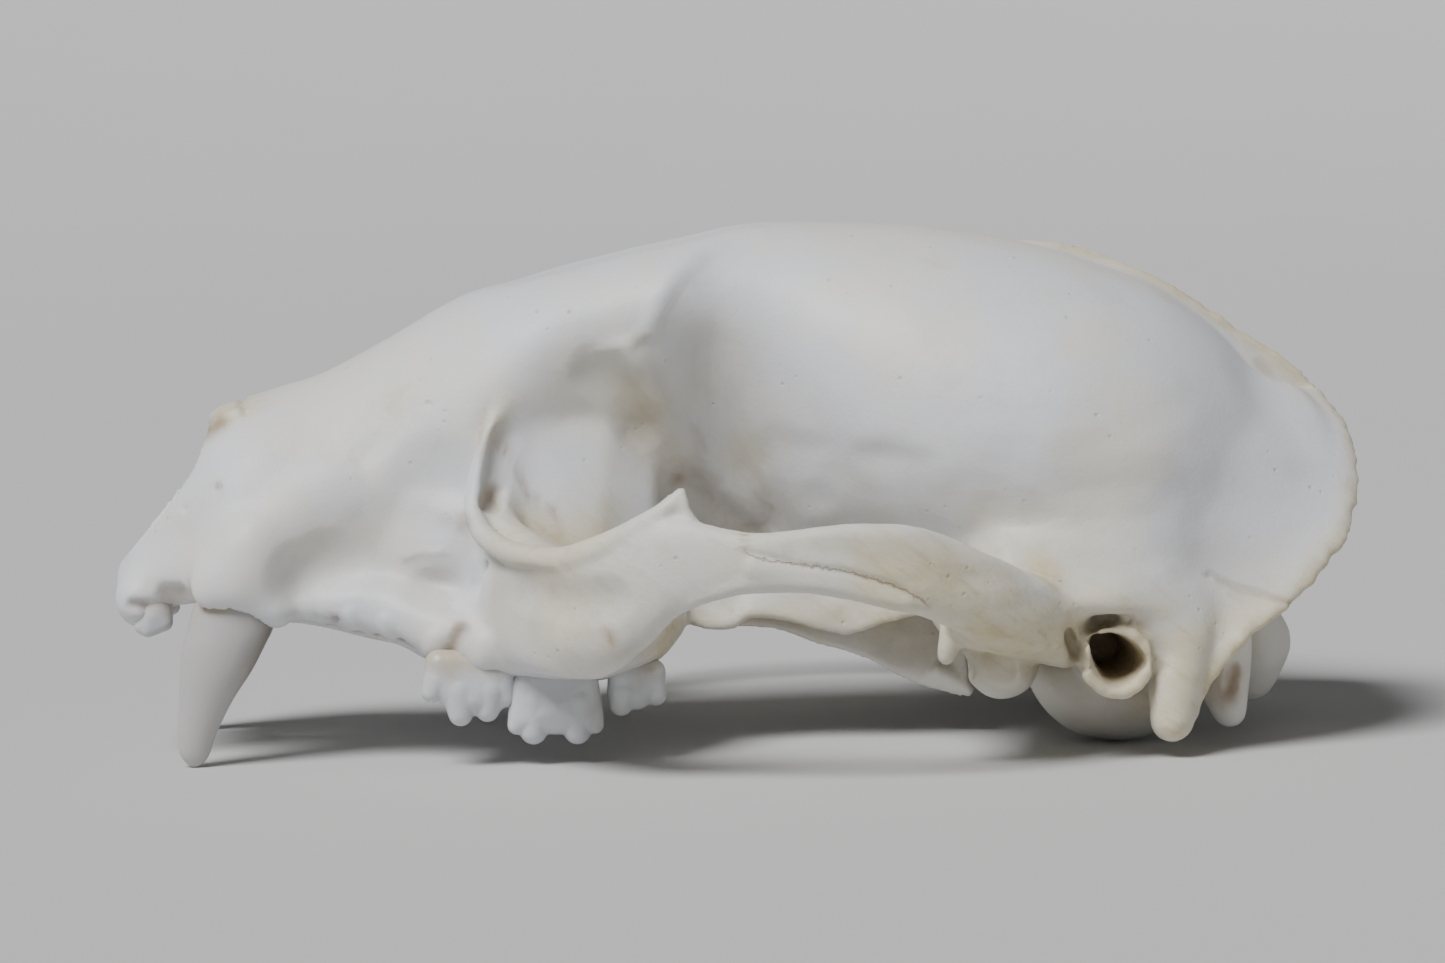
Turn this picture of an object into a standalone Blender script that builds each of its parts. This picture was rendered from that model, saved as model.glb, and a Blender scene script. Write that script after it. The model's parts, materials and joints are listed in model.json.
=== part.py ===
import bpy
import bmesh
import numpy as np
from math import pi, radians
from mathutils import Matrix, Vector

# A raccoon's skull without its lower jaw, at life size, resting on its canines and ear bullae.
# Places are in millimetres: x back from the nose tip, y out from the midline, z up from the floor.
# The animal's left side is at -Y and its nose points to -X.

MM = 0.001
SKULL_LENGTH = 117.4
CHEEK_HALF_WIDTH = 37.2
TOUCH_GAP = 0.3
SPECK = 0.004
SIDES = {"left": -1.0, "right": 1.0}

BASE_VOXEL = 0.55
FINE_VOXEL = 0.45
BONE_TRIANGLES = 10400

BONE_COLOUR = (0.80, 0.78, 0.71, 1.0)
ARCH_COLOUR = (0.80, 0.74, 0.60, 1.0)
BULLA_COLOUR = (0.78, 0.75, 0.66, 1.0)
TOOTH_COLOUR = (0.72, 0.70, 0.64, 1.0)

# The main body from the premaxilla to the occiput: its outline from the side and from above
CORE_TOP = [(0.4, 17.4), (4, 23.6), (7.3, 28.3), (10.3, 31.9), (14, 33.5), (20, 35.2), (28, 39.3),
            (32, 41.5), (36, 43.2), (40, 44.4), (44, 45.4), (52, 46.9), (60, 48.4), (68, 48.4),
            (82, 47.0), (92, 44.6), (100, 41.0), (106, 36.3), (111, 29.5)]
CORE_BOTTOM = [(0.4, 14.2), (4, 13.6), (10, 14.6), (20, 13.2), (30, 11.5), (44, 12.5), (56, 13.5),
               (66, 13.0), (78, 12.0), (90, 9.5), (102, 8.5), (111, 11.0)]
CORE_HALF_WIDTH = [(0.4, 3.4), (2, 6.0), (4, 7.8), (7, 10.0), (10, 12.0), (14, 13.2), (20, 12.8),
                   (28, 13.4), (34, 14.0), (40, 13.3), (46, 13.0), (51, 13.9), (58, 12.2),
                   (62, 13.4), (67, 17.4), (74, 21.8), (82, 24.4), (89, 24.8), (97, 23.2),
                   (104, 19.0), (108, 15.0), (111, 10.0)]
CORE_WIDEST = [(0.4, 15.6), (7, 18.0), (14, 19.0), (26, 21.0), (33, 26.0), (40, 35.5), (48, 39.5),
               (56, 41.0), (61, 38.5), (67, 33.0), (76, 29.0), (90, 27.0), (104, 22.0), (111, 19.0)]
CORE_UPPER_POWER = [(0.4, 2.0), (20, 2.0), (36, 2.2), (52, 2.4), (66, 2.1), (111, 2.1)]
CORE_LOWER_POWER = [(0.4, 2.6), (24, 2.6), (34, 1.9), (44, 1.35), (58, 1.4), (68, 1.8), (80, 2.2),
                    (111, 2.2)]

# The upper jaw around the tooth rows
JAW_HALF_WIDTH = [(8, 12.2), (12, 13.2), (18, 13.6), (24, 14.8), (30, 17.6), (36, 20.0),
                  (42, 21.0), (47, 20.2), (51, 17.6), (53.5, 13.5)]
JAW_MARGIN = [(8, 15.0), (10.7, 14.8), (13, 14.0), (15.3, 12.6), (18, 12.3), (21, 11.6), (24.5, 10.7),
              (27, 10.2), (29, 9.1), (33, 7.9), (38, 7.1), (45, 6.9), (48, 7.4), (51.5, 8.8),
              (53.5, 10.8)]
JAW_TOP = [(8, 22.0), (18, 21.5), (26, 20.0), (31, 18.0), (36, 18.0), (44, 17.5), (53.5, 15.0)]
PALATE_HALF_WIDTH = [(6, 5.5), (12, 7.2), (24, 8.6), (36, 10.6), (46, 11.2), (54, 8.6), (62, 7.6)]
PALATE_ROOF = [(6, 16.0), (12, 16.0), (20, 14.9), (30, 13.2), (40, 11.8), (50, 11.4), (62, 11.6)]

# The bony tube behind the palate, and the air way in it: x, y, z of its middle, half height and width
PALATE_STATIONS = [(44, 0, 14.5, 3.6, 8.6), (54, 0, 14.6, 3.6, 7.8), (64, 0, 14.2, 3.6, 7.0),
                   (74, 0, 14.4, 3.2, 6.8), (82, 0, 14.4, 2.8, 7.4)]
THROAT_STATIONS = [(58, 0, 14.4, 1.4, 3.4), (61, 0, 14.3, 2.1, 4.8), (66, 0, 13.6, 2.4, 5.2),
                   (72, 0, 12.6, 2.0, 5.3), (82, 0, 10.6, 1.8, 5.4)]

# The cheek arch: x, y, z of its middle, half its height and half its thickness
ARCH_STATIONS = [(35.0, 12.5, 14.2, 5.2, 2.6), (38.2, 19.6, 14.9, 5.9, 3.0), (41.2, 25.2, 14.8, 5.9, 2.5),
                 (45, 29.6, 15.4, 6.2, 2.1), (48.6, 32.2, 18.0, 5.8, 1.8), (52, 34.0, 19.7, 4.2, 1.6),
                 (58, 35.6, 19.8, 2.8, 1.4), (65, CHEEK_HALF_WIDTH - 1.4, 19.9, 3.2, 1.4),
                 (71, 35.2, 19.0, 3.9, 1.5), (76, 33.2, 17.2, 4.2, 2.0), (80.2, 30.4, 14.8, 4.2, 3.0),
                 (84.4, 26.0, 13.2, 3.6, 3.6), (88.6, 20.0, 12.5, 3.6, 3.6)]
SHELF_STATIONS = [(82.6, 14.0, 15.0, 5.2, 7.0), (81.6, 20.0, 13.8, 3.8, 6.2), (80.6, 26.0, 13.3, 3.1, 5.0),
                  (79.4, 31.0, 14.2, 3.0, 3.6)]
# The bead round the front of the orbit, from the cheek spike up to the brow, with its radius
ORBIT_RIM = [(51.6, 33.4, 25.2, 0.9), (49.2, 32.6, 23.4, 1.2), (45.4, 30.6, 21.0, 1.4),
             (42.0, 27.8, 19.7, 1.4), (38.8, 24.6, 19.7, 1.3), (36.2, 21.6, 20.4, 1.3),
             (34.5, 18.9, 21.8, 1.2), (33.9, 17.1, 23.6, 1.2), (34.1, 16.1, 25.6, 1.2),
             (34.7, 15.2, 28.0, 1.1), (35.6, 14.2, 30.4, 1.1), (37.2, 13.3, 32.7, 1.1),
             (39.8, 12.8, 34.6, 1.1), (42.6, 12.6, 35.9, 1.1), (46.0, 12.7, 37.2, 1.2),
             (48.6, 12.9, 38.4, 1.2), (50.3, 12.9, 39.2, 1.0)]
ORBIT_WEB = [(44.0, 24.0, 17.0, 2.6), (39.8, 20.4, 18.4, 2.5), (36.9, 17.2, 21.0, 2.2),
             (36.0, 14.9, 24.6, 1.7), (36.4, 13.4, 28.6, 1.3)]
CHEEK_SPIKE_ROOTS = [(45.5, 30.0, 19.5), (49.0, 32.0, 20.0), (51.4, 33.2, 20.5), (52.8, 34.0, 20.0),
                     (54.4, 34.6, 19.5)]
CHEEK_SPIKE_TIPS = [(46.6, 31.0, 22.9), (49.4, 32.0, 24.6), (52.2, 33.2, 26.6), (53.0, 33.8, 24.4),
                    (54.0, 34.6, 22.6)]
# The ledge over the ear hole, from the arch's top edge back to the mastoid
LEDGE_ROOTS = [(79.5, 19.5, 21.0), (83.0, 20.6, 22.5), (87.0, 21.0, 23.5), (91.0, 21.0, 23.0),
               (95.0, 20.4, 21.5), (99.0, 19.4, 18.0)]
LEDGE_TIPS = [(81.5, 29.6, 15.9), (84.0, 28.7, 14.2), (87.0, 27.9, 13.3), (91.0, 27.6, 13.2),
              (94.4, 26.9, 12.5), (98.4, 25.6, 10.0)]
# Swellings and fillings, each the skin round a few balls of x, y, z and radius
SWELLINGS = {
    "mastoid": [(98.0, 22.6, 12.0, 3.6), (97.0, 24.6, 6.6, 2.7), (96.5, 25.4, 3.3, 2.05)],
    "joint_plate": [(79.0, 29.5, 13.0, 1.6), (76.8, 26.5, 12.4, 1.3), (84.0, 27.2, 11.0, 1.7),
                    (87.2, 25.5, 9.8, 1.6), (80.0, 22.0, 11.5, 1.6), (87.0, 20.0, 10.5, 1.6)],
    "condyle": [(102.5, 7.6, 13.5, 4.0), (105.0, 10.4, 12.5, 3.0), (106.7, 8.6, 8.3, 3.9),
                (106.4, 8.0, 5.5, 3.0), (103.0, 6.6, 7.0, 2.4)],
    "rear_foot": [(100.6, 15.6, 12.5, 4.2), (102.6, 20.0, 11.0, 2.4), (102.7, 18.2, 7.0, 2.4),
                  (103.0, 18.4, 3.1, 1.7)],
    "canine_bulge": [(9.9, 12.2, 16.6, 2.1), (12.2, 12.9, 16.3, 2.1), (14.4, 13.1, 15.2, 2.0),
                     (15.7, 13.0, 14.4, 1.9), (13.4, 11.4, 20.8, 3.0), (11.0, 11.0, 19.5, 2.8)],
    "cheek_root": [(28.5, 11.2, 19.8, 3.2), (33.5, 12.4, 19.2, 3.3), (35.0, 13.0, 21.5, 2.8),
                   (29.5, 11.2, 23.5, 3.0)],
    "orbit_front": [(36.5, 12.4, 22.0, 3.2), (36.0, 12.2, 26.0, 3.0), (36.0, 11.6, 29.5, 2.6),
                    (36.5, 9.0, 22.0, 3.0), (36.0, 9.0, 28.0, 3.0)],
    "orbit_floor": [(37.0, 12.0, 20.6, 2.6), (44.0, 14.0, 18.4, 2.6), (48.4, 11.5, 18.6, 2.2),
                    (38.5, 10.0, 30.5, 2.6), (46.0, 8.0, 31.5, 2.6), (49.4, 8.0, 26.5, 2.2)],
}
LIP_CENTRE = (2.8, 4.6, 15.0)
LIP_RADII = (2.5, 3.3, 2.9)

# The crest that edges the occiput, from the midline round to behind the ear
NUCHAL_TIPS = [(115.6, 0, 30.8), (116.8, 6.5, 27.8), (116.9, 12.0, 24.0), (115.0, 17.0, 19.6),
               (111.4, 20.6, 15.6), (107.6, 23.0, 12.6), (103.8, 24.4, 10.2), (100.8, 25.0, 7.4),
               (99.0, 25.2, 4.6)]
NUCHAL_ROOTS = [(102.0, 8.0, 33.0), (100.0, 15.0, 30.0), (98.8, 18.8, 26.0), (98.0, 19.9, 20.5),
                (97.6, 20.3, 16.5), (97.2, 20.6, 13.5), (97.0, 21.0, 11.5), (96.8, 21.8, 9.0),
                (96.6, 22.6, 6.0)]
FLARE_TIPS = [(113.4, 3.0, 31.6), (115.0, 7.4, 28.7), (115.2, 12.1, 24.7), (113.2, 16.6, 20.4),
              (109.8, 19.8, 16.8), (106.4, 21.9, 13.8), (103.0, 23.2, 11.2)]
FLARE_ROOTS = [(99, 7.0, 35.0), (97, 12.6, 32.6), (96, 16.6, 29.2), (95.4, 18.8, 25.0),
               (95.2, 19.4, 20.5), (95.2, 19.4, 16.5), (95.4, 19.4, 12.5)]
SAGITTAL_TIPS = [(78, 0, 46.0), (86, 0, 46.4), (92, 0, 45.6), (97.7, 0, 43.5), (105.2, 0, 39.0),
                 (111, 0, 35.0), (114.8, 0, 31.4)]

BULLA_CENTRE = (93.2, 13.0, 7.1)
BULLA_RADII = (8.3, 6.8, 7.15)
BULLA_SEAT = 10.6
MEATUS_CENTRE = (91.4, 9.2)
MEATUS_RADIUS = 3.4
MEATUS_BORE = 2.5
MEATUS_END = 27.6

# The canine's outline from the side, as height, front edge and rear edge, down to its blunt tip
CANINE_SECTIONS = [(19.5, 12.0, 17.0), (17.0, 9.6, 17.0), (14.8, 8.1, 16.1), (12.3, 7.3, 15.2),
                   (11.2, 6.9, 14.6), (9.0, 6.65, 13.4), (6.2, 6.5, 11.5), (4.0, 6.3, 10.3),
                   (2.4, 6.25, 9.6), (1.2, 6.45, 9.15), (0.5, 6.9, 8.7), (0.0, 7.4, 8.2)]
CANINE_THICKNESS = 0.72
CANINE_Y = [(0, 12.9), (8, 12.3), (14, 11.4), (19.5, 10.2)]

# Teeth: the skin round each crown and each cusp, as balls of x, y, z and radius
TEETH = {
    "premolar_4": [[(30.6, 16.8, 9.4, 1.4), (35.8, 17.0, 9.0, 1.5), (30.8, 14.0, 9.4, 1.6),
                    (35.4, 14.0, 9.0, 1.6), (32.4, 17.1, 6.4, 1.6), (35.6, 17.1, 6.5, 1.5)],
                   [(30.2, 17.7, 8.2, 1.4), (29.7, 18.2, 7.1, 1.1)],
                   [(32.3, 17.4, 7.7, 2.2), (32.3, 18.2, 5.05, 1.25)],
                   [(35.0, 17.4, 7.4, 2.0), (34.8, 18.1, 5.35, 1.25)],
                   [(31.6, 14.4, 8.2, 2.0), (31.8, 13.9, 6.4, 1.2)],
                   [(35.0, 14.2, 8.2, 1.9), (35.0, 13.8, 6.5, 1.1)]],
    "molar_1": [[(38.9, 17.8, 7.4, 1.5), (43.2, 17.8, 7.2, 1.5), (38.8, 13.6, 7.0, 1.6),
                 (43.5, 13.6, 6.8, 1.6), (38.1, 17.9, 4.0, 1.4), (43.8, 17.9, 3.9, 1.4),
                 (38.6, 13.6, 5.0, 1.4), (43.4, 13.6, 5.0, 1.4)],
                [(39.0, 18.2, 6.0, 2.2), (38.9, 18.7, 3.35, 1.45)],
                [(43.0, 18.2, 5.8, 2.1), (43.0, 18.7, 3.25, 1.45)],
                [(39.6, 14.4, 5.6, 2.0), (39.7, 14.2, 3.7, 1.2)],
                [(43.2, 14.2, 5.6, 1.8), (43.3, 14.1, 4.0, 1.1)]],
    "molar_2": [[(47.3, 16.8, 7.6, 1.5), (49.9, 16.4, 8.0, 1.3), (47.6, 13.4, 7.4, 1.5),
                 (49.6, 13.6, 7.8, 1.3), (47.1, 16.6, 6.2, 1.4), (50.0, 16.4, 6.7, 1.1)],
                [(47.3, 16.8, 6.5, 1.7), (47.0, 17.1, 5.35, 1.2)],
                [(50.0, 16.5, 6.9, 1.3), (50.3, 16.7, 6.0, 1.0)],
                [(47.8, 13.8, 6.8, 1.5), (48.0, 13.7, 5.8, 1.1)]],
    "incisor_3": [[(4.9, 5.8, 17.0, 1.0), (4.5, 6.4, 15.0, 1.6), (4.5, 6.8, 13.7, 1.6),
                   (3.5, 6.9, 12.3, 0.75), (5.1, 6.9, 12.9, 0.8)]],
}
EMPTY_SOCKETS = [(1.9, 1.6, 14.0, 0.75), (2.5, 4.2, 13.9, 0.85), (18.2, 11.4, 12.9, 1.0),
                 (20.6, 11.8, 12.3, 0.95), (22.8, 12.4, 11.8, 1.0), (25.0, 13.4, 11.2, 1.05),
                 (27.2, 14.6, 10.4, 1.1)]

# Where the parts are told apart: the face ends here, and each arch between two slanting lines
FACE_REAR = 37.0
JAW_REAR = 54.5
ORBIT_FLOOR = 21.0
ORBIT_FLOOR_EDGE = 13.0
ORBIT_FLOOR_SLOPE = 0.6
ARCH_OUTLINE = [(45.5, 20.5), (36.0, 30.5), (36.0, 45.0), (86.4, 45.0), (74.4, 28.5)]

for old in list(bpy.data.objects):
    bpy.data.objects.remove(old, do_unlink=True)


def along(points, x):
    # A smooth curve through the points, read at x
    table = np.array(points, float)
    xs, ys = table[:, 0], table[:, 1]
    slopes = np.gradient(ys, xs)
    i = np.clip(np.searchsorted(xs, x) - 1, 0, len(xs) - 2)
    span = xs[i + 1] - xs[i]
    t = np.clip((x - xs[i]) / span, 0.0, 1.0)
    start, end, rise = slopes[i] * span, slopes[i + 1] * span, ys[i + 1] - ys[i]
    return ys[i] + t * (start + t * (3 * rise - 2 * start - end + t * (start + end - 2 * rise)))


def along_path(points, count):
    # Rows of values spread evenly along a smooth path through the given rows
    table = np.array(points, float)
    index = np.arange(len(table))
    steps = np.linspace(0, len(table) - 1, count)
    return np.column_stack([along(np.column_stack([index, column]), steps) for column in table.T])


def collection(name):
    made = bpy.data.collections.new(name)
    bpy.context.scene.collection.children.link(made)
    return made


def add_mesh(name, mesh_data, target):
    mesh = bpy.data.meshes.new(name)
    bmesh.ops.recalc_face_normals(mesh_data, faces=mesh_data.faces)
    mesh_data.to_mesh(mesh)
    mesh_data.free()
    made = bpy.data.objects.new(name, mesh)
    target.objects.link(made)
    return made


def to_world(points, side=1.0):
    # Millimetres from the nose, midline and floor become metres about the middle of the length
    places = np.atleast_2d(np.array(points, float))
    return np.column_stack([places[:, 0] - SKULL_LENGTH / 2, places[:, 1] * side, places[:, 2]]) * MM


def loft(name, rings, target, side=1.0):
    # A closed skin through rings that have the same number of points
    form = bmesh.new()
    rows = [[form.verts.new(p) for p in to_world(ring, side)] for ring in rings]
    count = len(rows[0])
    for row, following in zip(rows, rows[1:]):
        for k in range(count):
            n = (k + 1) % count
            form.faces.new((row[k], row[n], following[n], following[k]))
    form.faces.new(rows[0])
    form.faces.new(rows[-1])
    return add_mesh(name, form, target)


def unit_section(count, power):
    angles = np.arange(count) * 2 * pi / count
    c, s = np.cos(angles), np.sin(angles)
    return np.sign(c) * abs(c) ** (2 / power), np.sign(s) * abs(s) ** (2 / power)


def body_section(x, top, bottom, half_width, widest, upper, lower, count=40):
    # One cross section: two half ellipses that meet at the widest height
    angles = np.arange(count) * 2 * pi / count
    c, s = np.cos(angles), np.sin(angles)
    power = np.where(s > 0, upper, lower)
    y = half_width * np.sign(c) * abs(c) ** (2 / power)
    reach = np.where(s > 0, top - widest, widest - bottom)
    z = widest + reach * np.sign(s) * abs(s) ** (2 / power)
    return np.column_stack([np.full(count, x), y, z])


def bar(name, stations, target, side=1.0, count=24, power=2.4):
    # A flattened bar along a path: each station has x, y, z, half height and half thickness
    path = along_path(stations, 4 * len(stations))
    across, up = unit_section(count, power)
    run = np.gradient(path[:, :3], axis=0)
    rings = []
    for place, direction in zip(path, run):
        out = np.array([-direction[1], direction[0], 0.0])
        out /= max(np.linalg.norm(out), 1e-9)
        ring = place[:3] + np.outer(across * place[4], out)
        ring[:, 2] += up * place[3]
        rings.append(ring)
    return loft(name, rings, target, side)


def blade(name, roots, tips, root_thickness, tip_thickness, target, side=1.0):
    # A thin flange from a buried root line out to its free edge
    count = 4 * len(roots)
    inner, outer = along_path(roots, count), along_path(tips, count)
    run = np.gradient(outer, axis=0)
    shares = np.array([0.0, 0.35, 0.7, 0.93])
    rings = []
    for start, end, direction in zip(inner, outer, run):
        normal = np.cross(end - start, direction)
        normal /= max(np.linalg.norm(normal), 1e-9)
        spine = start + np.outer(shares, end - start)
        swell = root_thickness + (tip_thickness - root_thickness) * np.array([0.0, 0.55, 0.9, 1.0])
        offset = np.outer(swell / 2, normal)
        rings.append(np.vstack([spine + offset, [end], (spine - offset)[::-1]]))
    return loft(name, rings, target, side)


def ball(name, centre, radii, target, side=1.0, tilt=0.0, detail=4, power=2.0):
    # An ellipsoid, tilted nose up by a few degrees about the side axis
    form = bmesh.new()
    bmesh.ops.create_icosphere(form, subdivisions=detail, radius=1.0)
    turn = Matrix.Rotation(radians(tilt), 3, "Y")
    for v in form.verts:
        if power != 2.0:
            v.co = Vector(np.sign(c) * abs(c) ** (2 / power) for c in v.co)
        v.co = turn @ Vector(c * r for c, r in zip(v.co, radii))
        v.co = Vector(to_world([v.co + Vector(centre)], side)[0])
    return add_mesh(name, form, target)


def rod(name, start, end, start_radius, end_radius, target, side=1.0, flat=1.0):
    # A round or flattened cone frustum between two places
    start, end = np.array(start, float), np.array(end, float)
    axis = (end - start) / np.linalg.norm(end - start)
    helper = np.array([0.0, 1.0, 0.0]) if abs(axis[1]) < 0.9 else np.array([1.0, 0.0, 0.0])
    first = np.cross(axis, helper)
    first /= np.linalg.norm(first)
    second = np.cross(axis, first)
    across, up = unit_section(24, 2.0)
    shape = np.outer(across, first) + np.outer(up * flat, second)
    return loft(name, [start + shape * start_radius, end + shape * end_radius], target, side)


def tube(name, path, target, side=1.0, count=12):
    # A round tube whose rings stand square to its path of x, y, z and radius
    table = np.array(path, float)
    across, up = unit_section(count, 2.0)
    rings = []
    for place, direction in zip(table, np.gradient(table[:, :3], axis=0)):
        direction /= np.linalg.norm(direction)
        first = np.cross(direction, (0.0, 1.0, 0.0))
        first /= max(np.linalg.norm(first), 1e-9)
        second = np.cross(direction, first)
        rings.append(place[:3] + (np.outer(across, first) + np.outer(up, second)) * place[3])
    return loft(name, rings, target, side)


def hull(name, balls, target, side=1.0):
    # The tight skin round a few balls, each x, y, z and radius
    seed = bmesh.new()
    bmesh.ops.create_icosphere(seed, subdivisions=2, radius=1.0)
    directions = np.array([v.co[:] for v in seed.verts])
    seed.free()
    form = bmesh.new()
    for x, y, z, radius in balls:
        for place in to_world(np.array([x, y, z]) + directions * radius, side):
            form.verts.new(place)
    bmesh.ops.convex_hull(form, input=form.verts)
    bmesh.ops.delete(form, geom=[v for v in form.verts if not v.link_faces], context="VERTS")
    return add_mesh(name, form, target)


def prism(name, outline, low, high, target, side=1.0):
    # A flat outline in x and y, raised from one height to another
    rings = [np.column_stack([outline, np.full(len(outline), z)]) for z in (low, high)]
    return loft(name, rings, target, side)


def apply_modifiers(thing):
    graph = bpy.context.evaluated_depsgraph_get()
    baked = bpy.data.meshes.new_from_object(thing.evaluated_get(graph))
    old = thing.data
    thing.modifiers.clear()
    thing.data = baked
    bpy.data.meshes.remove(old)


def combine(thing, operation, others, solver="MANIFOLD"):
    # Joins or cuts by a whole collection of closed meshes, then removes them
    cut = thing.modifiers.new(operation, "BOOLEAN")
    cut.operation = operation
    cut.operand_type = "COLLECTION"
    cut.collection = others
    cut.solver = solver
    apply_modifiers(thing)
    clear(others)


def clear(group):
    for piece in list(group.objects):
        bpy.data.objects.remove(piece, do_unlink=True)
    bpy.data.collections.remove(group)


def remesh(thing, voxel, smoothing, factor=0.5):
    grid = thing.modifiers.new("voxels", "REMESH")
    grid.mode = "VOXEL"
    grid.voxel_size = voxel * MM
    soft = thing.modifiers.new("soften", "SMOOTH")
    soft.factor = factor
    soft.iterations = smoothing
    apply_modifiers(thing)


def decimate(thing, triangles):
    thing.data.calc_loop_triangles()
    thin = thing.modifiers.new("thin", "DECIMATE")
    thin.ratio = triangles / len(thing.data.loop_triangles)
    thin.use_collapse_triangulate = True
    apply_modifiers(thing)


def clean_cuts(thing):
    # Closes the specks of edges that a cut leaves where it just grazes a corner
    form = bmesh.new()
    form.from_mesh(thing.data)
    bmesh.ops.triangulate(form, faces=form.faces)
    bmesh.ops.remove_doubles(form, verts=form.verts, dist=SPECK * MM)
    bmesh.ops.dissolve_degenerate(form, dist=SPECK * MM, edges=form.edges)
    form.to_mesh(thing.data)
    form.free()


def keep_largest(thing):
    # Drops every loose scrap but the largest closed surface
    form = bmesh.new()
    form.from_mesh(thing.data)
    unseen = set(form.verts)
    islands = []
    while unseen:
        stack = [unseen.pop()]
        island = set(stack)
        while stack:
            for edge in stack.pop().link_edges:
                for v in edge.verts:
                    if v in unseen:
                        unseen.discard(v)
                        island.add(v)
                        stack.append(v)
        islands.append(island)
    islands.sort(key=len)
    for scrap in islands[:-1]:
        bmesh.ops.delete(form, geom=list(scrap), context="VERTS")
    form.to_mesh(thing.data)
    form.free()


def stroke(thing, path, radius, height):
    # Raises a ridge, or sinks a groove, along a path on both sides of the skull
    mesh = thing.data
    count = len(mesh.vertices)
    places = np.empty(count * 3)
    normals = np.empty(count * 3)
    mesh.vertices.foreach_get("co", places)
    mesh.vertex_normals.foreach_get("vector", normals)
    places, normals = places.reshape(-1, 3), normals.reshape(-1, 3)
    folded = np.column_stack([places[:, 0], abs(places[:, 1]), places[:, 2]])
    points = to_world(path)
    nearest = np.full(count, np.inf)
    for start, end in zip(points[:-1], points[1:]):
        run = end - start
        t = np.clip((folded - start) @ run / (run @ run), 0.0, 1.0)
        nearest = np.minimum(nearest, np.linalg.norm(folded - start - np.outer(t, run), axis=1))
    fall = np.clip(1.0 - (nearest / (radius * MM)) ** 2, 0.0, 1.0) ** 2
    places += normals * (fall * height * MM)[:, None]
    mesh.vertices.foreach_set("co", places.ravel())
    mesh.update()


def main_body(masses):
    rings = []
    for x in np.linspace(CORE_TOP[0][0], CORE_TOP[-1][0], 75):
        rings.append(body_section(x, along(CORE_TOP, x), along(CORE_BOTTOM, x),
                                  along(CORE_HALF_WIDTH, x), along(CORE_WIDEST, x),
                                  along(CORE_UPPER_POWER, x), along(CORE_LOWER_POWER, x)))
    return loft("skull", rings, masses)


def upper_jaw(masses):
    rings = []
    for x in np.linspace(JAW_MARGIN[0][0], JAW_MARGIN[-1][0], 32):
        margin = along(JAW_MARGIN, x)
        rings.append(body_section(x, along(JAW_TOP, x), margin, along(JAW_HALF_WIDTH, x),
                                  margin + 3.5, 2.0, 3.4))
    loft("upper_jaw", rings, masses)
    bar("palate", PALATE_STATIONS, masses, power=3.5)


def cheek_arch(masses, side):
    bar("arch", ARCH_STATIONS, masses, side)
    bar("shelf", SHELF_STATIONS, masses, side, power=2.6)
    tube("orbit_rim", along_path(ORBIT_RIM, 50), masses, side)
    for first, second in zip(ORBIT_WEB, ORBIT_WEB[1:]):
        hull("orbit_web", [first, second], masses, side)
    blade("ear_ledge", LEDGE_ROOTS, LEDGE_TIPS, 6.0, 2.4, masses, side)
    for name, balls in SWELLINGS.items():
        hull(name, balls, masses, side)


def skull_base(masses, side):
    ball("bulla_seat", (93, 13.5, 13.8), (9.5, 8.5, 4.8), masses, side)
    ball("ear_back", (95.5, 20, 12.5), (6.5, 6.5, 5.0), masses, side, detail=3)
    ball("nose_lip", LIP_CENTRE, LIP_RADII, masses, side, detail=3)
    blade("crest_flare", FLARE_ROOTS, FLARE_TIPS, 7.0, 2.0, masses, side)


def fine_pieces(target, side):
    x, z = MEATUS_CENTRE
    rod("meatus", (x, 12, z), (x, MEATUS_END, z), MEATUS_RADIUS, MEATUS_RADIUS, target, side)
    ball("joint_stop", (81.6, 20.6, 8.9), (3.6, 5.0, 3.6), target, side, tilt=8, detail=3)
    hull("joint_lip", [(77.0, 26.0, 13.0, 1.5), (75.9, 27.0, 10.0, 1.0), (77.0, 23.5, 12.0, 1.3)],
         target, side)
    blade("cheek_spike", CHEEK_SPIKE_ROOTS, CHEEK_SPIKE_TIPS, 2.4, 1.2, target, side)
    blade("wing_plate", [(50, 7.4, 14), (58, 6.8, 15), (66, 6.4, 15.5), (74, 6.0, 15.5), (80, 6, 14.5)],
          [(50, 8.0, 12.4), (58, 7.2, 10.9), (66, 6.6, 8.9), (74, 6.0, 5.3), (80.3, 6.4, 3.6)],
          2.2, 1.1, target, side)
    rod("wing_hook", (77, 6.1, 6.4), (80.6, 6.4, 3.9), 1.2, 0.6, target, side)
    blade("wing_ridge", [(50, 6.4, 15.5), (58, 5.6, 17), (66, 5.6, 18), (72, 6.4, 18), (78, 8.5, 18)],
          [(51.5, 9.2, 12.4), (57.7, 9.8, 10.9), (62.5, 9.8, 11.5), (68.6, 10, 10.1), (75.4, 12, 12.2)],
          5.0, 1.2, target, side)
    blade("nuchal_crest", NUCHAL_ROOTS, NUCHAL_TIPS, 6.0, 1.5, target, side)


def all_teeth(target, side):
    # The teeth that are one with the jaw, sunk into it
    for name, forms in TEETH.items():
        for balls in forms:
            hull(name, balls, target, side)


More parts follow.
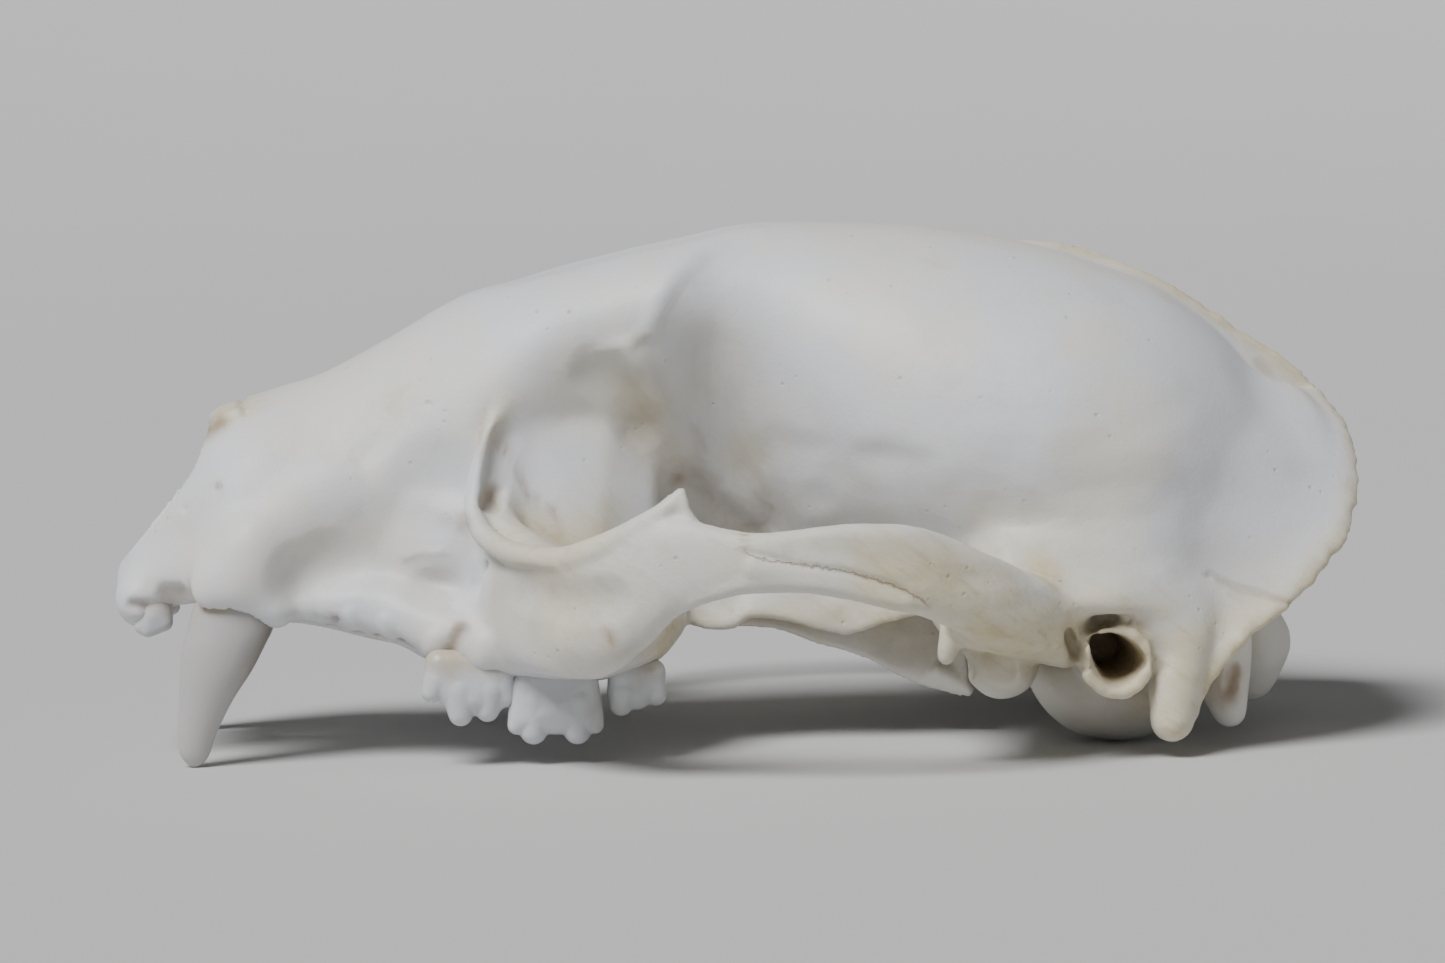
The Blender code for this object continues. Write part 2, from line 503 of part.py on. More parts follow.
def hollows(target):
    nose = []
    for x, low, high, half in [(-6, 18.5, 32.5, 5.6), (2, 18.0, 31.5, 5.6), (8, 18.2, 30.6, 6.3),
                               (16, 18.6, 30.6, 6.0), (23, 19.5, 29.5, 4.6), (26, 21.5, 27.5, 2.5)]:
        nose.append(body_section(x, high, low, half, 0.45 * low + 0.55 * high, 2.2, 2.2, 24))
    loft("nose", nose, target)
    vault = []
    for x in np.linspace(PALATE_ROOF[0][0], PALATE_ROOF[-1][0], 20):
        roof = along(PALATE_ROOF, x)
        vault.append(body_section(x, roof, roof - 12, along(PALATE_HALF_WIDTH, x), roof - 7,
                                  3.0, 2.0, 28))
    loft("vault", vault, target)
    ball("brain_door", (108, 0, 14.0), (15.5, 6.5, 4.7), target, tilt=8)
    bar("throat", THROAT_STATIONS, target, power=2.6)
    for side in SIDES.values():
        ball("eye", (45.8, 20.3, 29.8), (10.9, 11.0, 9.8), target, side)
        ball("eye_rear", (56.0, 22.5, 25.5), (10.0, 11.5, 8.0), target, side)
        rod("nerve_tunnel", (33.6, 17.4, 18.4), (41, 19.2, 18.6), 1.2, 1.2, target, side)
        rod("ear_hole", (MEATUS_CENTRE[0] + 0.5, 17.5, MEATUS_CENTRE[1] - 0.2),
            (MEATUS_CENTRE[0], MEATUS_END + 3, MEATUS_CENTRE[1]), MEATUS_BORE, MEATUS_BORE,
            target, side)
        rod("joint_groove", (79.6, 24.6, 7.6), (79.2, 36, 7.8), 2.9, 2.9, target, side)
        rod("joint_slot", (77.4, 17.5, 8.2), (77.6, 25.5, 8.2), 1.5, 1.5, target, side)
        for x, y, z, radius in EMPTY_SOCKETS:
            rod("socket", (x, y, z - 3), (x + 0.6, y - 0.2, z + 2.2), radius, radius * 0.7,
                target, side)


def shape_surface(skull):
    # Ridges and hollows that the muscles and tooth roots leave on the bone
    stroke(skull, [(50.6, 13.4, 39.2), (52.7, 12.4, 43.9), (56.1, 10.2, 46.8), (61, 7.4, 48.3)], 2.2, 0.5)
    stroke(skull, [(9.5, 10.5, 16.2), (12.5, 13.0, 18.4), (16, 13.2, 21.4), (20.5, 12.6, 25.6)], 4.4, 0.6)
    stroke(skull, [(17.9, 13.6, 17.4), (20.7, 13.8, 18.4)], 4.0, -0.9)
    stroke(skull, [(25, 13.2, 20), (28.6, 13.2, 23.2), (30.6, 13.4, 26.4)], 4.6, -0.7)
    stroke(skull, [(40, 0, 44.8), (54, 0, 47.4)], 7.0, -0.7)
    stroke(skull, [(55.4, 11.5, 35.5), (57.6, 9.5, 26.5)], 5.0, -0.8)
    stroke(skull, [(64, 13.0, 15), (70, 17, 19)], 5.0, -0.5)
    stroke(skull, [(112, 7, 22), (110, 12, 16)], 5.5, -1.4)
    stroke(skull, [(98, 4.5, 8.8), (104, 4.0, 8.8)], 3.0, -0.6)


def whole_bone():
    masses = collection("masses")
    skull = main_body(bpy.context.scene.collection)
    upper_jaw(masses)
    for side in SIDES.values():
        cheek_arch(masses, side)
        skull_base(masses, side)
    combine(skull, "UNION", masses)
    remesh(skull, BASE_VOXEL, 10)
    details = collection("details")
    for side in SIDES.values():
        fine_pieces(details, side)
        all_teeth(details, side)
    sagittal_roots = [(x - 4.0, y, z - 5.0) for x, y, z in SAGITTAL_TIPS]
    blade("sagittal_crest", sagittal_roots, SAGITTAL_TIPS, 5.5, 1.2, details)
    combine(skull, "UNION", details)
    cutters = collection("cutters")
    hollows(cutters)
    combine(skull, "DIFFERENCE", cutters)
    remesh(skull, FINE_VOXEL, 3)
    shape_surface(skull)
    keep_largest(skull)
    return skull


def canine(name, target, side, gap=0.0):
    # A blunt curved cone whose root is seated in the jaw
    rings = []
    across, up = unit_section(18, 2.0)
    for z, front, rear in CANINE_SECTIONS:
        half = (rear - front) / 2 + gap
        y = along(CANINE_Y, z) + across * (half - gap) * CANINE_THICKNESS + across * gap
        rings.append(np.column_stack([(front + rear) / 2 + up * half, y, np.full(len(y), z)]))
    rings[0][:, 2] += gap
    return loft(name, rings, target, side)


def bulla(name, target, side, gap=0.0):
    # The swollen ear capsule, flat where it stands and cut level inside its seat
    form = bmesh.new()
    bmesh.ops.create_uvsphere(form, u_segments=22, v_segments=14, radius=1.0)
    for v in form.verts:
        place = Vector(c * (r + gap) for c, r in zip(v.co, BULLA_RADII)) + Vector(BULLA_CENTRE)
        place.z = min(max(place.z, 0.0), BULLA_SEAT + gap)
        v.co = Vector(to_world([place], side)[0])
    bmesh.ops.dissolve_degenerate(form, dist=1e-6, edges=form.edges)
    return add_mesh(name, form, target)


def face_block(gap):
    # All that lies ahead of the orbits, and the jaw under them
    block = prism("face_block", [(-9, -60), (FACE_REAR + gap, -60), (FACE_REAR + gap, 60), (-9, 60)],
                  -9, 70, bpy.context.scene.collection)
    edge = ORBIT_FLOOR + gap
    far = 50.0
    rise = edge + (far - ORBIT_FLOOR_EDGE) * ORBIT_FLOOR_SLOPE
    outline = np.array([(-far, -9), (far, -9), (far, rise), (ORBIT_FLOOR_EDGE, edge),
                        (-ORBIT_FLOOR_EDGE, edge), (-far, rise)])
    lower = collection("lower")
    rings = [np.column_stack([np.full(len(outline), x), outline]) for x in (20.0, JAW_REAR + gap)]
    loft("jaw_block", rings, lower)
    combine(block, "UNION", lower)
    return block


def arch_block(gap, side):
    outline = np.array(ARCH_OUTLINE)
    following, before = np.roll(outline, -1, axis=0), np.roll(outline, 1, axis=0)
    grown = []
    for place, ahead, behind in zip(outline, following, before):
        first, second = ahead - place, place - behind
        normals = [np.array([-v[1], v[0]]) / np.linalg.norm(v) for v in (first, second)]
        middle = normals[0] + normals[1]
        grown.append(place + middle * gap / (1.0 + normals[0] @ normals[1]))
    return prism("arch_block", np.array(grown), -9, 70, bpy.context.scene.collection, side)


def copy_of(thing, name):
    made = bpy.data.objects.new(name, thing.data.copy())
    bpy.context.scene.collection.objects.link(made)
    return made


def part_off(skull, name, block_at):
    # Takes the piece inside a block off the skull and leaves a thin gap between them
    piece = copy_of(skull, name)
    for thing, operation, gap in ((piece, "INTERSECT", 0.0), (skull, "DIFFERENCE", TOUCH_GAP)):
        tools = collection("tools")
        block = block_at(gap)
        bpy.context.scene.collection.objects.unlink(block)
        tools.objects.link(block)
        combine(thing, operation, tools, "EXACT")
        keep_largest(thing)
    return piece


def material(name, colour, roughness):
    made = bpy.data.materials.new(name)
    made.use_nodes = True
    shader = made.node_tree.nodes["Principled BSDF"]
    shader.inputs["Base Color"].default_value = colour
    shader.inputs["Roughness"].default_value = roughness
    shader.inputs["Metallic"].default_value = 0.0
    return made


def finish(thing, look, target):
    clean_cuts(thing)
    thing.data.materials.clear()
    thing.data.materials.append(look)
    thing.data.shade_smooth()
    thing.data.set_sharp_from_angle(angle=radians(40))
    for group in list(thing.users_collection):
        group.objects.unlink(thing)
    target.objects.link(thing)


def build():
    finished = collection("raccoon_skull")
    bone = material("bone", BONE_COLOUR, 0.55)
    arch_bone = material("arch_bone", ARCH_COLOUR, 0.55)
    bulla_bone = material("bulla_bone", BULLA_COLOUR, 0.5)
    tooth = material("tooth", TOOTH_COLOUR, 0.25)
    skull = whole_bone()
    decimate(skull, BONE_TRIANGLES)
    seats = collection("seats")
    for side in SIDES.values():
        canine("canine_seat", seats, side, TOUCH_GAP)
        bulla("bulla_seat", seats, side, TOUCH_GAP)
    combine(skull, "DIFFERENCE", seats, "EXACT")
    keep_largest(skull)
    for label, side in SIDES.items():
        arch = part_off(skull, f"zygomatic_arch_{label}", lambda gap: arch_block(gap, side))
        finish(arch, arch_bone, finished)
        finish(bulla(f"auditory_bulla_{label}", finished, side), bulla_bone, finished)
        finish(canine(f"canine_{label}", finished, side), tooth, finished)
    finish(part_off(skull, "rostrum", face_block), bone, finished)
    skull.name = "cranium"
    finish(skull, bone, finished)


build()
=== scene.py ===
import json
from math import cos, pi, radians, sin, sqrt

import bmesh
import bpy
import numpy as np
from mathutils import Matrix, Vector, noise
from mathutils.bvhtree import BVHTree

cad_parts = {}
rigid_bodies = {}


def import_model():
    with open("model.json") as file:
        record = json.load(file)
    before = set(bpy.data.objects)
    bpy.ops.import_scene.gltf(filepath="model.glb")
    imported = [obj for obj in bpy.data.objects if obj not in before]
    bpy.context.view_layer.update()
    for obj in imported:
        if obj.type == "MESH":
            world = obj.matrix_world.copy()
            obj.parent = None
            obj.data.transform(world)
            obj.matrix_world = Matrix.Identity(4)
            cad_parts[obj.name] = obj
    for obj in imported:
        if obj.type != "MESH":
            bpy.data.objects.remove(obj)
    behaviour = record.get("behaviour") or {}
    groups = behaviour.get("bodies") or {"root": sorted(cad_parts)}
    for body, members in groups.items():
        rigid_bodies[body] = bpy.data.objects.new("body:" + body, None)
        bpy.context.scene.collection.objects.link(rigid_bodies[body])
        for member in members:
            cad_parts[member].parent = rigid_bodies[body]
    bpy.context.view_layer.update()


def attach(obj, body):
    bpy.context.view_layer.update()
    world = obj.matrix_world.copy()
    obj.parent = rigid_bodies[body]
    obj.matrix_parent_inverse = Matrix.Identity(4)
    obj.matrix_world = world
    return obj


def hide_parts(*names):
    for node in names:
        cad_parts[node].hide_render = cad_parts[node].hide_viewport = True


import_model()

# Places are millimetres: x back from the nose tip, y out from the midline, z up from the floor.
# Most values are given once, for y above 0, and made on both sides.
mm = 0.001
middleX = 58.7  # the frame's origin lies this far behind the nose tip
bothSides = (-1.0, 1.0)
namedSides = (("left", -1.0), ("right", 1.0))


def smoothStep(low, high, value):
    t = np.clip((np.asarray(value, float) - low) / (high - low), 0.0, 1.0)
    return t * t * (3 - 2 * t)


def along(points, at):
    # a smooth curve through (position, value) pairs, read at one position or many
    table = np.array(points, float)
    xs, ys = table[:, 0], table[:, 1]
    slopes = np.gradient(ys, xs)
    i = np.clip(np.searchsorted(xs, at) - 1, 0, len(xs) - 2)
    span = xs[i + 1] - xs[i]
    t = np.clip((at - xs[i]) / span, 0.0, 1.0)
    start, end, rise = slopes[i] * span, slopes[i + 1] * span, ys[i + 1] - ys[i]
    return ys[i] + t * (start + t * (3 * rise - 2 * start - end + t * (start + end - 2 * rise)))


def alongPath(points, count):
    table = np.array(points, float)
    steps = np.linspace(0, len(table) - 1, count)
    index = np.arange(len(table))
    return np.column_stack([along(np.column_stack([index, column]), steps) for column in table.T])


def toFrame(points, side=1.0):
    places = np.atleast_2d(np.array(points, float))
    return np.column_stack([places[:, 0] - middleX, places[:, 1] * side, places[:, 2]]) * mm


def fromFrame(places):
    # back to millimetres, with y counted out from the midline on either side
    return np.column_stack([places[:, 0] / mm + middleX, abs(places[:, 1]) / mm, places[:, 2] / mm])


def newGroup(name):
    made = bpy.data.collections.new(name)
    bpy.context.scene.collection.children.link(made)
    return made


def objectFrom(name, form, group):
    mesh = bpy.data.meshes.new(name)
    bmesh.ops.recalc_face_normals(form, faces=form.faces)
    form.to_mesh(mesh)
    form.free()
    made = bpy.data.objects.new(name, mesh)
    group.objects.link(made)
    return made


def loft(name, rings, group, side=1.0):
    form = bmesh.new()
    rows = [[form.verts.new(p) for p in toFrame(ring, side)] for ring in rings]
    count = len(rows[0])
    for row, following in zip(rows, rows[1:]):
        for k in range(count):
            n = (k + 1) % count
            form.faces.new((row[k], row[n], following[n], following[k]))
    form.faces.new(rows[0])
    form.faces.new(rows[-1])
    return objectFrom(name, form, group)


def ovalPoints(count, power):
    angles = np.arange(count) * 2 * pi / count
    c, s = np.cos(angles), np.sin(angles)
    return np.sign(c) * abs(c) ** (2 / power), np.sign(s) * abs(s) ** (2 / power)


def bodyRing(x, top, bottom, halfWidth, widest, upper, lower, count=72):
    # two half ovals that meet at the widest height
    angles = np.arange(count) * 2 * pi / count
    c, s = np.cos(angles), np.sin(angles)
    power = np.where(s > 0, upper, lower)
    reach = np.where(s > 0, top - widest, widest - bottom)
    y = halfWidth * np.sign(c) * abs(c) ** (2 / power)
    z = widest + reach * np.sign(s) * abs(s) ** (2 / power)
    return np.column_stack([np.full(count, x), y, z])


def bar(name, stations, group, side=1.0, power=2.4, count=32):
    # stations hold x, y, z, half height and half thickness
    path = alongPath(stations, 6 * len(stations))
    across, up = ovalPoints(count, power)
    rings = []
    for place, run in zip(path, np.gradient(path[:, :3], axis=0)):
        out = np.array([-run[1], run[0], 0.0])
        out /= max(np.linalg.norm(out), 1e-9)
        ring = place[:3] + np.outer(across * place[4], out)
        ring[:, 2] += up * place[3]
        rings.append(ring)
    return loft(name, rings, group, side)


def blade(name, roots, tips, rootThickness, tipThickness, group, side=1.0):
    # a thin flange from a buried root line out to its free edge
    count = 6 * len(tips)
    inner, outer = alongPath(roots, count), alongPath(tips, count)
    shares = np.array([0.0, 0.35, 0.7, 0.93])
    swell = rootThickness + (tipThickness - rootThickness) * np.array([0.0, 0.55, 0.9, 1.0])
    rings = []
    for start, end, run in zip(inner, outer, np.gradient(outer, axis=0)):
        normal = np.cross(end - start, run)
        normal /= max(np.linalg.norm(normal), 1e-9)
        spine = start + np.outer(shares, end - start)
        offset = np.outer(swell / 2, normal)
        rings.append(np.vstack([spine + offset, [end], (spine - offset)[::-1]]))
    return loft(name, rings, group, side)


def ball(name, centre, radii, group, side=1.0, tilt=0.0, detail=5):
    form = bmesh.new()
    bmesh.ops.create_icosphere(form, subdivisions=detail, radius=1.0)
    turn = Matrix.Rotation(radians(tilt), 3, "Y")
    for v in form.verts:
        v.co = turn @ Vector(c * r for c, r in zip(v.co, radii))
        v.co = Vector(toFrame([v.co + Vector(centre)], side)[0])
    return objectFrom(name, form, group)


def rod(name, start, end, startRadius, endRadius, group, side=1.0):
    start, end = np.array(start, float), np.array(end, float)
    axis = (end - start) / np.linalg.norm(end - start)
    helper = np.array([0.0, 1.0, 0.0]) if abs(axis[1]) < 0.9 else np.array([1.0, 0.0, 0.0])
    first = np.cross(axis, helper)
    first /= np.linalg.norm(first)
    across, up = ovalPoints(32, 2.0)
    shape = np.outer(across, first) + np.outer(up, np.cross(axis, first))
    return loft(name, [start + shape * startRadius, end + shape * endRadius], group, side)


def tube(name, path, group, side=1.0, count=16):
    # a round tube whose rings stand square to its path of x, y, z and radius
    table = np.array(path, float)
    runs = np.gradient(table[:, :3], axis=0)
    across, up = ovalPoints(count, 2.0)
    rings = []
    for place, run in zip(table, runs):
        run = run / np.linalg.norm(run)
        first = np.cross(run, (0.0, 1.0, 0.0))
        first /= max(np.linalg.norm(first), 1e-9)
        second = np.cross(run, first)
        rings.append(place[:3] + (np.outer(across, first) + np.outer(up, second)) * place[3])
    return loft(name, rings, group, side)


def hull(name, balls, group, side=1.0):
    # the tight skin round a few balls, each x, y, z and radius
    seed = bmesh.new()
    bmesh.ops.create_icosphere(seed, subdivisions=3, radius=1.0)
    directions = np.array([v.co[:] for v in seed.verts])
    seed.free()
    form = bmesh.new()
    for x, y, z, radius in balls:
        for place in toFrame(np.array([x, y, z]) + directions * radius, side):
            form.verts.new(place)
    bmesh.ops.convex_hull(form, input=form.verts)
    bmesh.ops.delete(form, geom=[v for v in form.verts if not v.link_faces], context="VERTS")
    return objectFrom(name, form, group)


def chain(name, balls, group, side=1.0):
    # a smooth limb through balls of x, y, z and radius
    for pair in zip(balls, balls[1:]):
        hull(name, pair, group, side)


def evaluatedMesh(thing):
    graph = bpy.context.evaluated_depsgraph_get()
    return bpy.data.meshes.new_from_object(thing.evaluated_get(graph))


def bake(thing):
    # the modifiers' result becomes the plain mesh
    baked = evaluatedMesh(thing)
    old = thing.data
    thing.modifiers.clear()
    thing.data = baked
    bpy.data.meshes.remove(old)


def dress(thing, material):
    thing.data.materials.clear()
    thing.data.materials.append(material)
    thing.data.shade_smooth()


def combine(thing, operation, group):
    cut = thing.modifiers.new(operation, "BOOLEAN")
    cut.operation = operation
    cut.operand_type = "COLLECTION"
    cut.collection = group
    cut.solver = "MANIFOLD"
    bake(thing)
    for piece in list(group.objects):
        bpy.data.objects.remove(piece, do_unlink=True)
    bpy.data.collections.remove(group)


def voxelSkin(thing, voxel, smoothing, factor=0.5):
    grid = thing.modifiers.new("voxels", "REMESH")
    grid.mode = "VOXEL"
    grid.voxel_size = voxel * mm
    soft = thing.modifiers.new("soften", "SMOOTH")
    soft.factor = factor
    soft.iterations = smoothing
    bake(thing)


def keepLargest(thing):
    form = bmesh.new()
    form.from_mesh(thing.data)
    unseen = set(form.verts)
    islands = []
    while unseen:
        stack = [unseen.pop()]
        island = set(stack)
        while stack:
            for edge in stack.pop().link_edges:
                for v in edge.verts:
                    if v in unseen:
                        unseen.discard(v)
                        island.add(v)
                        stack.append(v)
        islands.append(island)
    islands.sort(key=len)
    for scrap in islands[:-1]:
        bmesh.ops.delete(form, geom=list(scrap), context="VERTS")
    form.to_mesh(thing.data)
    form.free()


def readMesh(thing):
    count = len(thing.data.vertices)
    places, normals = np.empty(count * 3), np.empty(count * 3)
    thing.data.vertices.foreach_get("co", places)
    thing.data.vertex_normals.foreach_get("vector", normals)
    return places.reshape(-1, 3), normals.reshape(-1, 3)


def writePlaces(thing, places):
    thing.data.vertices.foreach_set("co", places.ravel())
    thing.data.update()


def distanceTo(path, points):
    # from each point to the nearest place of a path, in two dimensions or three
    path = np.array(path, float)
    nearest = np.full(len(points), np.inf)
    if len(path) == 1:
        return np.linalg.norm(points - path[0], axis=1)
    for start, end in zip(path[:-1], path[1:]):
        run = end - start
        t = np.clip((points - start) @ run / (run @ run), 0.0, 1.0)
        nearest = np.minimum(nearest, np.linalg.norm(points - start - np.outer(t, run), axis=1))
    return nearest


# A wire carries one socket's value, and sums on it add the nodes that work them out
class Wire:
    def __init__(self, sheet, socket):
        self.sheet = sheet
        self.socket = socket

    def maths(self, operation, *others):
        values = dict(enumerate([self, *others]))
        return self.sheet.node("ShaderNodeMath", {"operation": operation}, values)

    def __add__(self, other):
        return self.maths("ADD", other)

    def __sub__(self, other):
        return self.maths("SUBTRACT", other)

    def __rsub__(self, other):
        return self.sheet.node("ShaderNodeMath", {"operation": "SUBTRACT"}, {0: other, 1: self})

    def __mul__(self, other):
        return self.maths("MULTIPLY", other)

    __radd__ = __add__
    __rmul__ = __mul__

    def clamped(self):
        return self.sheet.node("ShaderNodeClamp", {}, {0: self})

    def step(self, low, high):
        # 0 below low and 1 above high, smooth between them
        return self.sheet.node("ShaderNodeMapRange", {"interpolation_type": "SMOOTHSTEP"},
                               {"Value": self, "From Min": low, "From Max": high})


# One sheet of nodes, for a material or for a geometry tree
class Sheet:
    def __init__(self, tree):
        self.tree = tree

    def node(self, kind, settings=None, values=None, output=0):
        made = self.tree.nodes.new(kind)
        for key, value in (settings or {}).items():
            if key == "curve":
                self.setCurve(made.mapping, value)
            else:
                setattr(made, key, value)
        for key, value in (values or {}).items():
            if isinstance(value, Wire):
                self.tree.links.new(value.socket, made.inputs[key])
            else:
                made.inputs[key].default_value = value
        return Wire(self, made.outputs[output])

    def setCurve(self, mapping, points):
        mapping.use_clip = False
        curve = mapping.curves[0]
        while len(curve.points) < len(points):
            curve.points.new(0.5, 0.5)
        for point, place in zip(curve.points, points):
            point.location = place
        mapping.update()

    def curve(self, share, points):
        return self.node("ShaderNodeFloatCurve", {"curve": points}, {"Value": share})

    def mix(self, factor, first, second):
        colours = [c if isinstance(c, Wire) else (*c, 1.0) for c in (first, second)]
        return self.node("ShaderNodeMix", {"data_type": "RGBA", "clamp_factor": True},
                         {0: factor, 6: colours[0], 7: colours[1]}, 2)

    def noise(self, place, scale, detail=2.0, roughness=0.5, stretch=None, turn=0.0):
        if turn:
            place = self.node("ShaderNodeMapping", {}, {"Vector": place, "Rotation": (0.0, turn, 0.0)})
        if stretch:
            place = self.node("ShaderNodeMapping", {}, {"Vector": place, "Scale": stretch})
        return self.node("ShaderNodeTexNoise", {}, {"Vector": place, "Scale": scale, "Detail": detail,
                                                    "Roughness": roughness})

    def parts(self, value, kind="ShaderNodeSeparateXYZ"):
        # a wire for each part of a vector or colour
        split = self.node(kind, {}, {0: value})
        return [Wire(self, socket) for socket in split.socket.node.outputs]

    def bump(self, height, strength, depth):
        return self.node("ShaderNodeBump", {}, {"Strength": strength, "Distance": depth,
                                                "Height": height}, "Normal")

    def surface(self, values):
        shader = self.node("ShaderNodeBsdfPrincipled", {}, values)
        leave = self.tree.nodes.new("ShaderNodeOutputMaterial")
        self.tree.links.new(shader.socket, leave.inputs["Surface"])


def newMaterial(name):
    made = bpy.data.materials.new(name)
    made.use_nodes = True
    made.node_tree.nodes.clear()
    sheet = Sheet(made.node_tree)
    return made, sheet, sheet.node("ShaderNodeTexCoord", {}, {}, "Object")


def newTree(name, inputs):
    # a geometry tree with named inputs; the sheet's inputs hold one wire for each
    tree = bpy.data.node_groups.new(name, "GeometryNodeTree")
    tree.interface.new_socket("Geometry", in_out="OUTPUT", socket_type="NodeSocketGeometry")
    tree.interface.new_socket("Geometry", in_out="INPUT", socket_type="NodeSocketGeometry")
    kinds = {int: "NodeSocketInt", float: "NodeSocketFloat"}
    for label, value in inputs.items():
        tree.interface.new_socket(label, in_out="INPUT", socket_type=kinds[type(value)])
    sheet = Sheet(tree)
    entry = tree.nodes.new("NodeGroupInput")
    sheet.inputs = {socket.name: Wire(sheet, socket) for socket in entry.outputs if socket.name}
    return tree, sheet


def endTree(tree, sheet, geometry, material):
    real = sheet.node("GeometryNodeRealizeInstances", {}, {"Geometry": geometry})
    painted = sheet.node("GeometryNodeSetMaterial", {}, {"Geometry": real, "Material": material})
    leave = tree.nodes.new("NodeGroupOutput")
    tree.links.new(painted.socket, leave.inputs[0])


def addTree(thing, tree, inputs):
    grower = thing.modifiers.new(tree.name, "NODES")
    grower.node_group = tree
    for item in tree.interface.items_tree:
        if item.in_out == "INPUT" and item.name in inputs:
            grower[item.identifier] = inputs[item.name]


# Bone
boneLook = {
    "coolWhite": (0.70, 0.71, 0.745), "warmWhite": (0.73, 0.71, 0.655),
    # shade is the olive of the painted shade in deep places and undersides, and also of the mottle,
    # streaks and pores
    "cream": (0.66, 0.575, 0.36), "brown": (0.24, 0.14, 0.06), "shade": (0.34, 0.285, 0.19),
    "roughness": 0.52, "bump": 0.55, "bumpDepth": 0.00016,
    # noise scales, with the turn of the fibres on the arch
    "broad": 55.0, "mottle": 130.0, "middle": 260.0, "fibre": 900.0, "grain": 2600.0,
    "fibreTurn": -0.59,
    "pores": 620.0, "poreGroups": 190.0, "zigzag": 1700.0,
    # where each noise begins to show and is full
    "broadEdge": (0.42, 0.64), "mottleEdge": (0.5, 0.74), "streakEdge": (0.52, 0.66),
    "poreEdge": (0.05, 0.17), "poreGroupEdge": (0.55, 0.66),
    # how strongly each of these darkens the bone
    "mottleShare": 0.11, "streakShare": 0.22, "poreShare": 0.3, "sutureShare": 0.5,
    "jugalSuture": [(57.3, 21.2), (58.2, 20.5), (62.1, 19.7), (66.2, 19.0), (70.3, 17.6), (72.1, 16.7),
                    (73.6, 15.5)],
    "sutureHalfWidth": 0.10, "sutureBand": (27.0, 29.0),
}


def boneMaterial(look):
    made, sheet, place = newMaterial("bone")
    tone = sheet.node("ShaderNodeAttribute", {"attribute_name": "boneTone"}, {}, "Color")
    creamMask, stainMask, shadeMask = sheet.parts(tone, "ShaderNodeSeparateColor")
    broad = sheet.noise(place, look["broad"], 3.0, 0.55)
    middle = sheet.noise(place, look["middle"], 3.0, 0.6)
    fine = sheet.noise(place, look["grain"], 4.0, 0.65)
    fibre = sheet.noise(place, look["fibre"], 3.0, 0.6, (0.14, 1.0, 1.0), look["fibreTurn"])
    mottle = sheet.noise(place, look["mottle"], 4.0, 0.62).step(*look["mottleEdge"])

    base = sheet.mix(broad.step(*look["broadEdge"]), look["coolWhite"], look["warmWhite"])
    creamShare = (creamMask * (0.88 + 0.7 * (middle - 0.5) + 0.9 * (fibre - 0.5))).clamped()
    base = sheet.mix(creamShare, base, look["cream"])
    base = sheet.mix(mottle * look["mottleShare"], base, look["shade"])
    streaks = fibre.step(*look["streakEdge"]) * creamMask
    base = sheet.mix(streaks * look["streakShare"], base, look["shade"])
    # painted shade of deep places and undersides, from the blue of the tone
    base = sheet.mix((shadeMask * (0.8 + 0.8 * (middle - 0.5))).clamped(), base, look["shade"])
    base = sheet.mix((stainMask * (1.0 + 1.6 * (middle - 0.5))).clamped(), base, look["brown"])

    pores = sheet.node("ShaderNodeTexVoronoi", {}, {"Vector": place, "Scale": look["pores"],
                                                    "Randomness": 1.0})
    rare = sheet.noise(place, look["poreGroups"]).step(*look["poreGroupEdge"])
    porePits = (1.0 - pores.step(*look["poreEdge"])) * rare
    base = sheet.mix(porePits * look["poreShare"], base, look["shade"])

    x, y, z = (part * (1 / mm) for part in sheet.parts(place))
    wander = (sheet.noise(place, look["zigzag"], 2.0, 0.7) - 0.5) * 0.8
    crease = sutureMask(sheet, look["jugalSuture"], x + middleX, z + wander, look["sutureHalfWidth"])
    crease = crease * y.maths("ABSOLUTE").step(*look["sutureBand"])
    base = sheet.mix(crease * look["sutureShare"], base, look["brown"])

    height = fine * 0.36 + middle * 0.6 + fibre * creamMask * 2.0 - porePits * 0.8 - crease * 1.2
    sheet.surface({
        "Base Color": base, "Roughness": look["roughness"] + 0.16 * (fine - 0.5) + 0.12 * (middle - 0.5),
        "Normal": sheet.bump(height, look["bump"], look["bumpDepth"]), "Subsurface Weight": 0.12,
        "Subsurface Radius": (1.0, 0.75, 0.5), "Subsurface Scale": 0.0012, "IOR": 1.5})
    return made


def sutureMask(sheet, line, x, z, halfWidth):
    # a thin line at height z = f(x), read from a curve of named points
    table = np.array(line, float)
    low, high = table[0, 0], table[-1, 0]
    bottom, span = table[:, 1].min(), table[:, 1].max() - table[:, 1].min()
    share = (x - low) * (1 / (high - low))
    height = sheet.curve(share, [((px - low) / (high - low), (pz - bottom) / span) for px, pz in line])
    off = (z - (height * span + bottom)).maths("ABSOLUTE")
    ends = share.step(0.0, 0.03) * (1.0 - share.step(0.97, 1.0))
    return (1.0 - off.step(halfWidth * 0.5, halfWidth * 1.6)) * ends


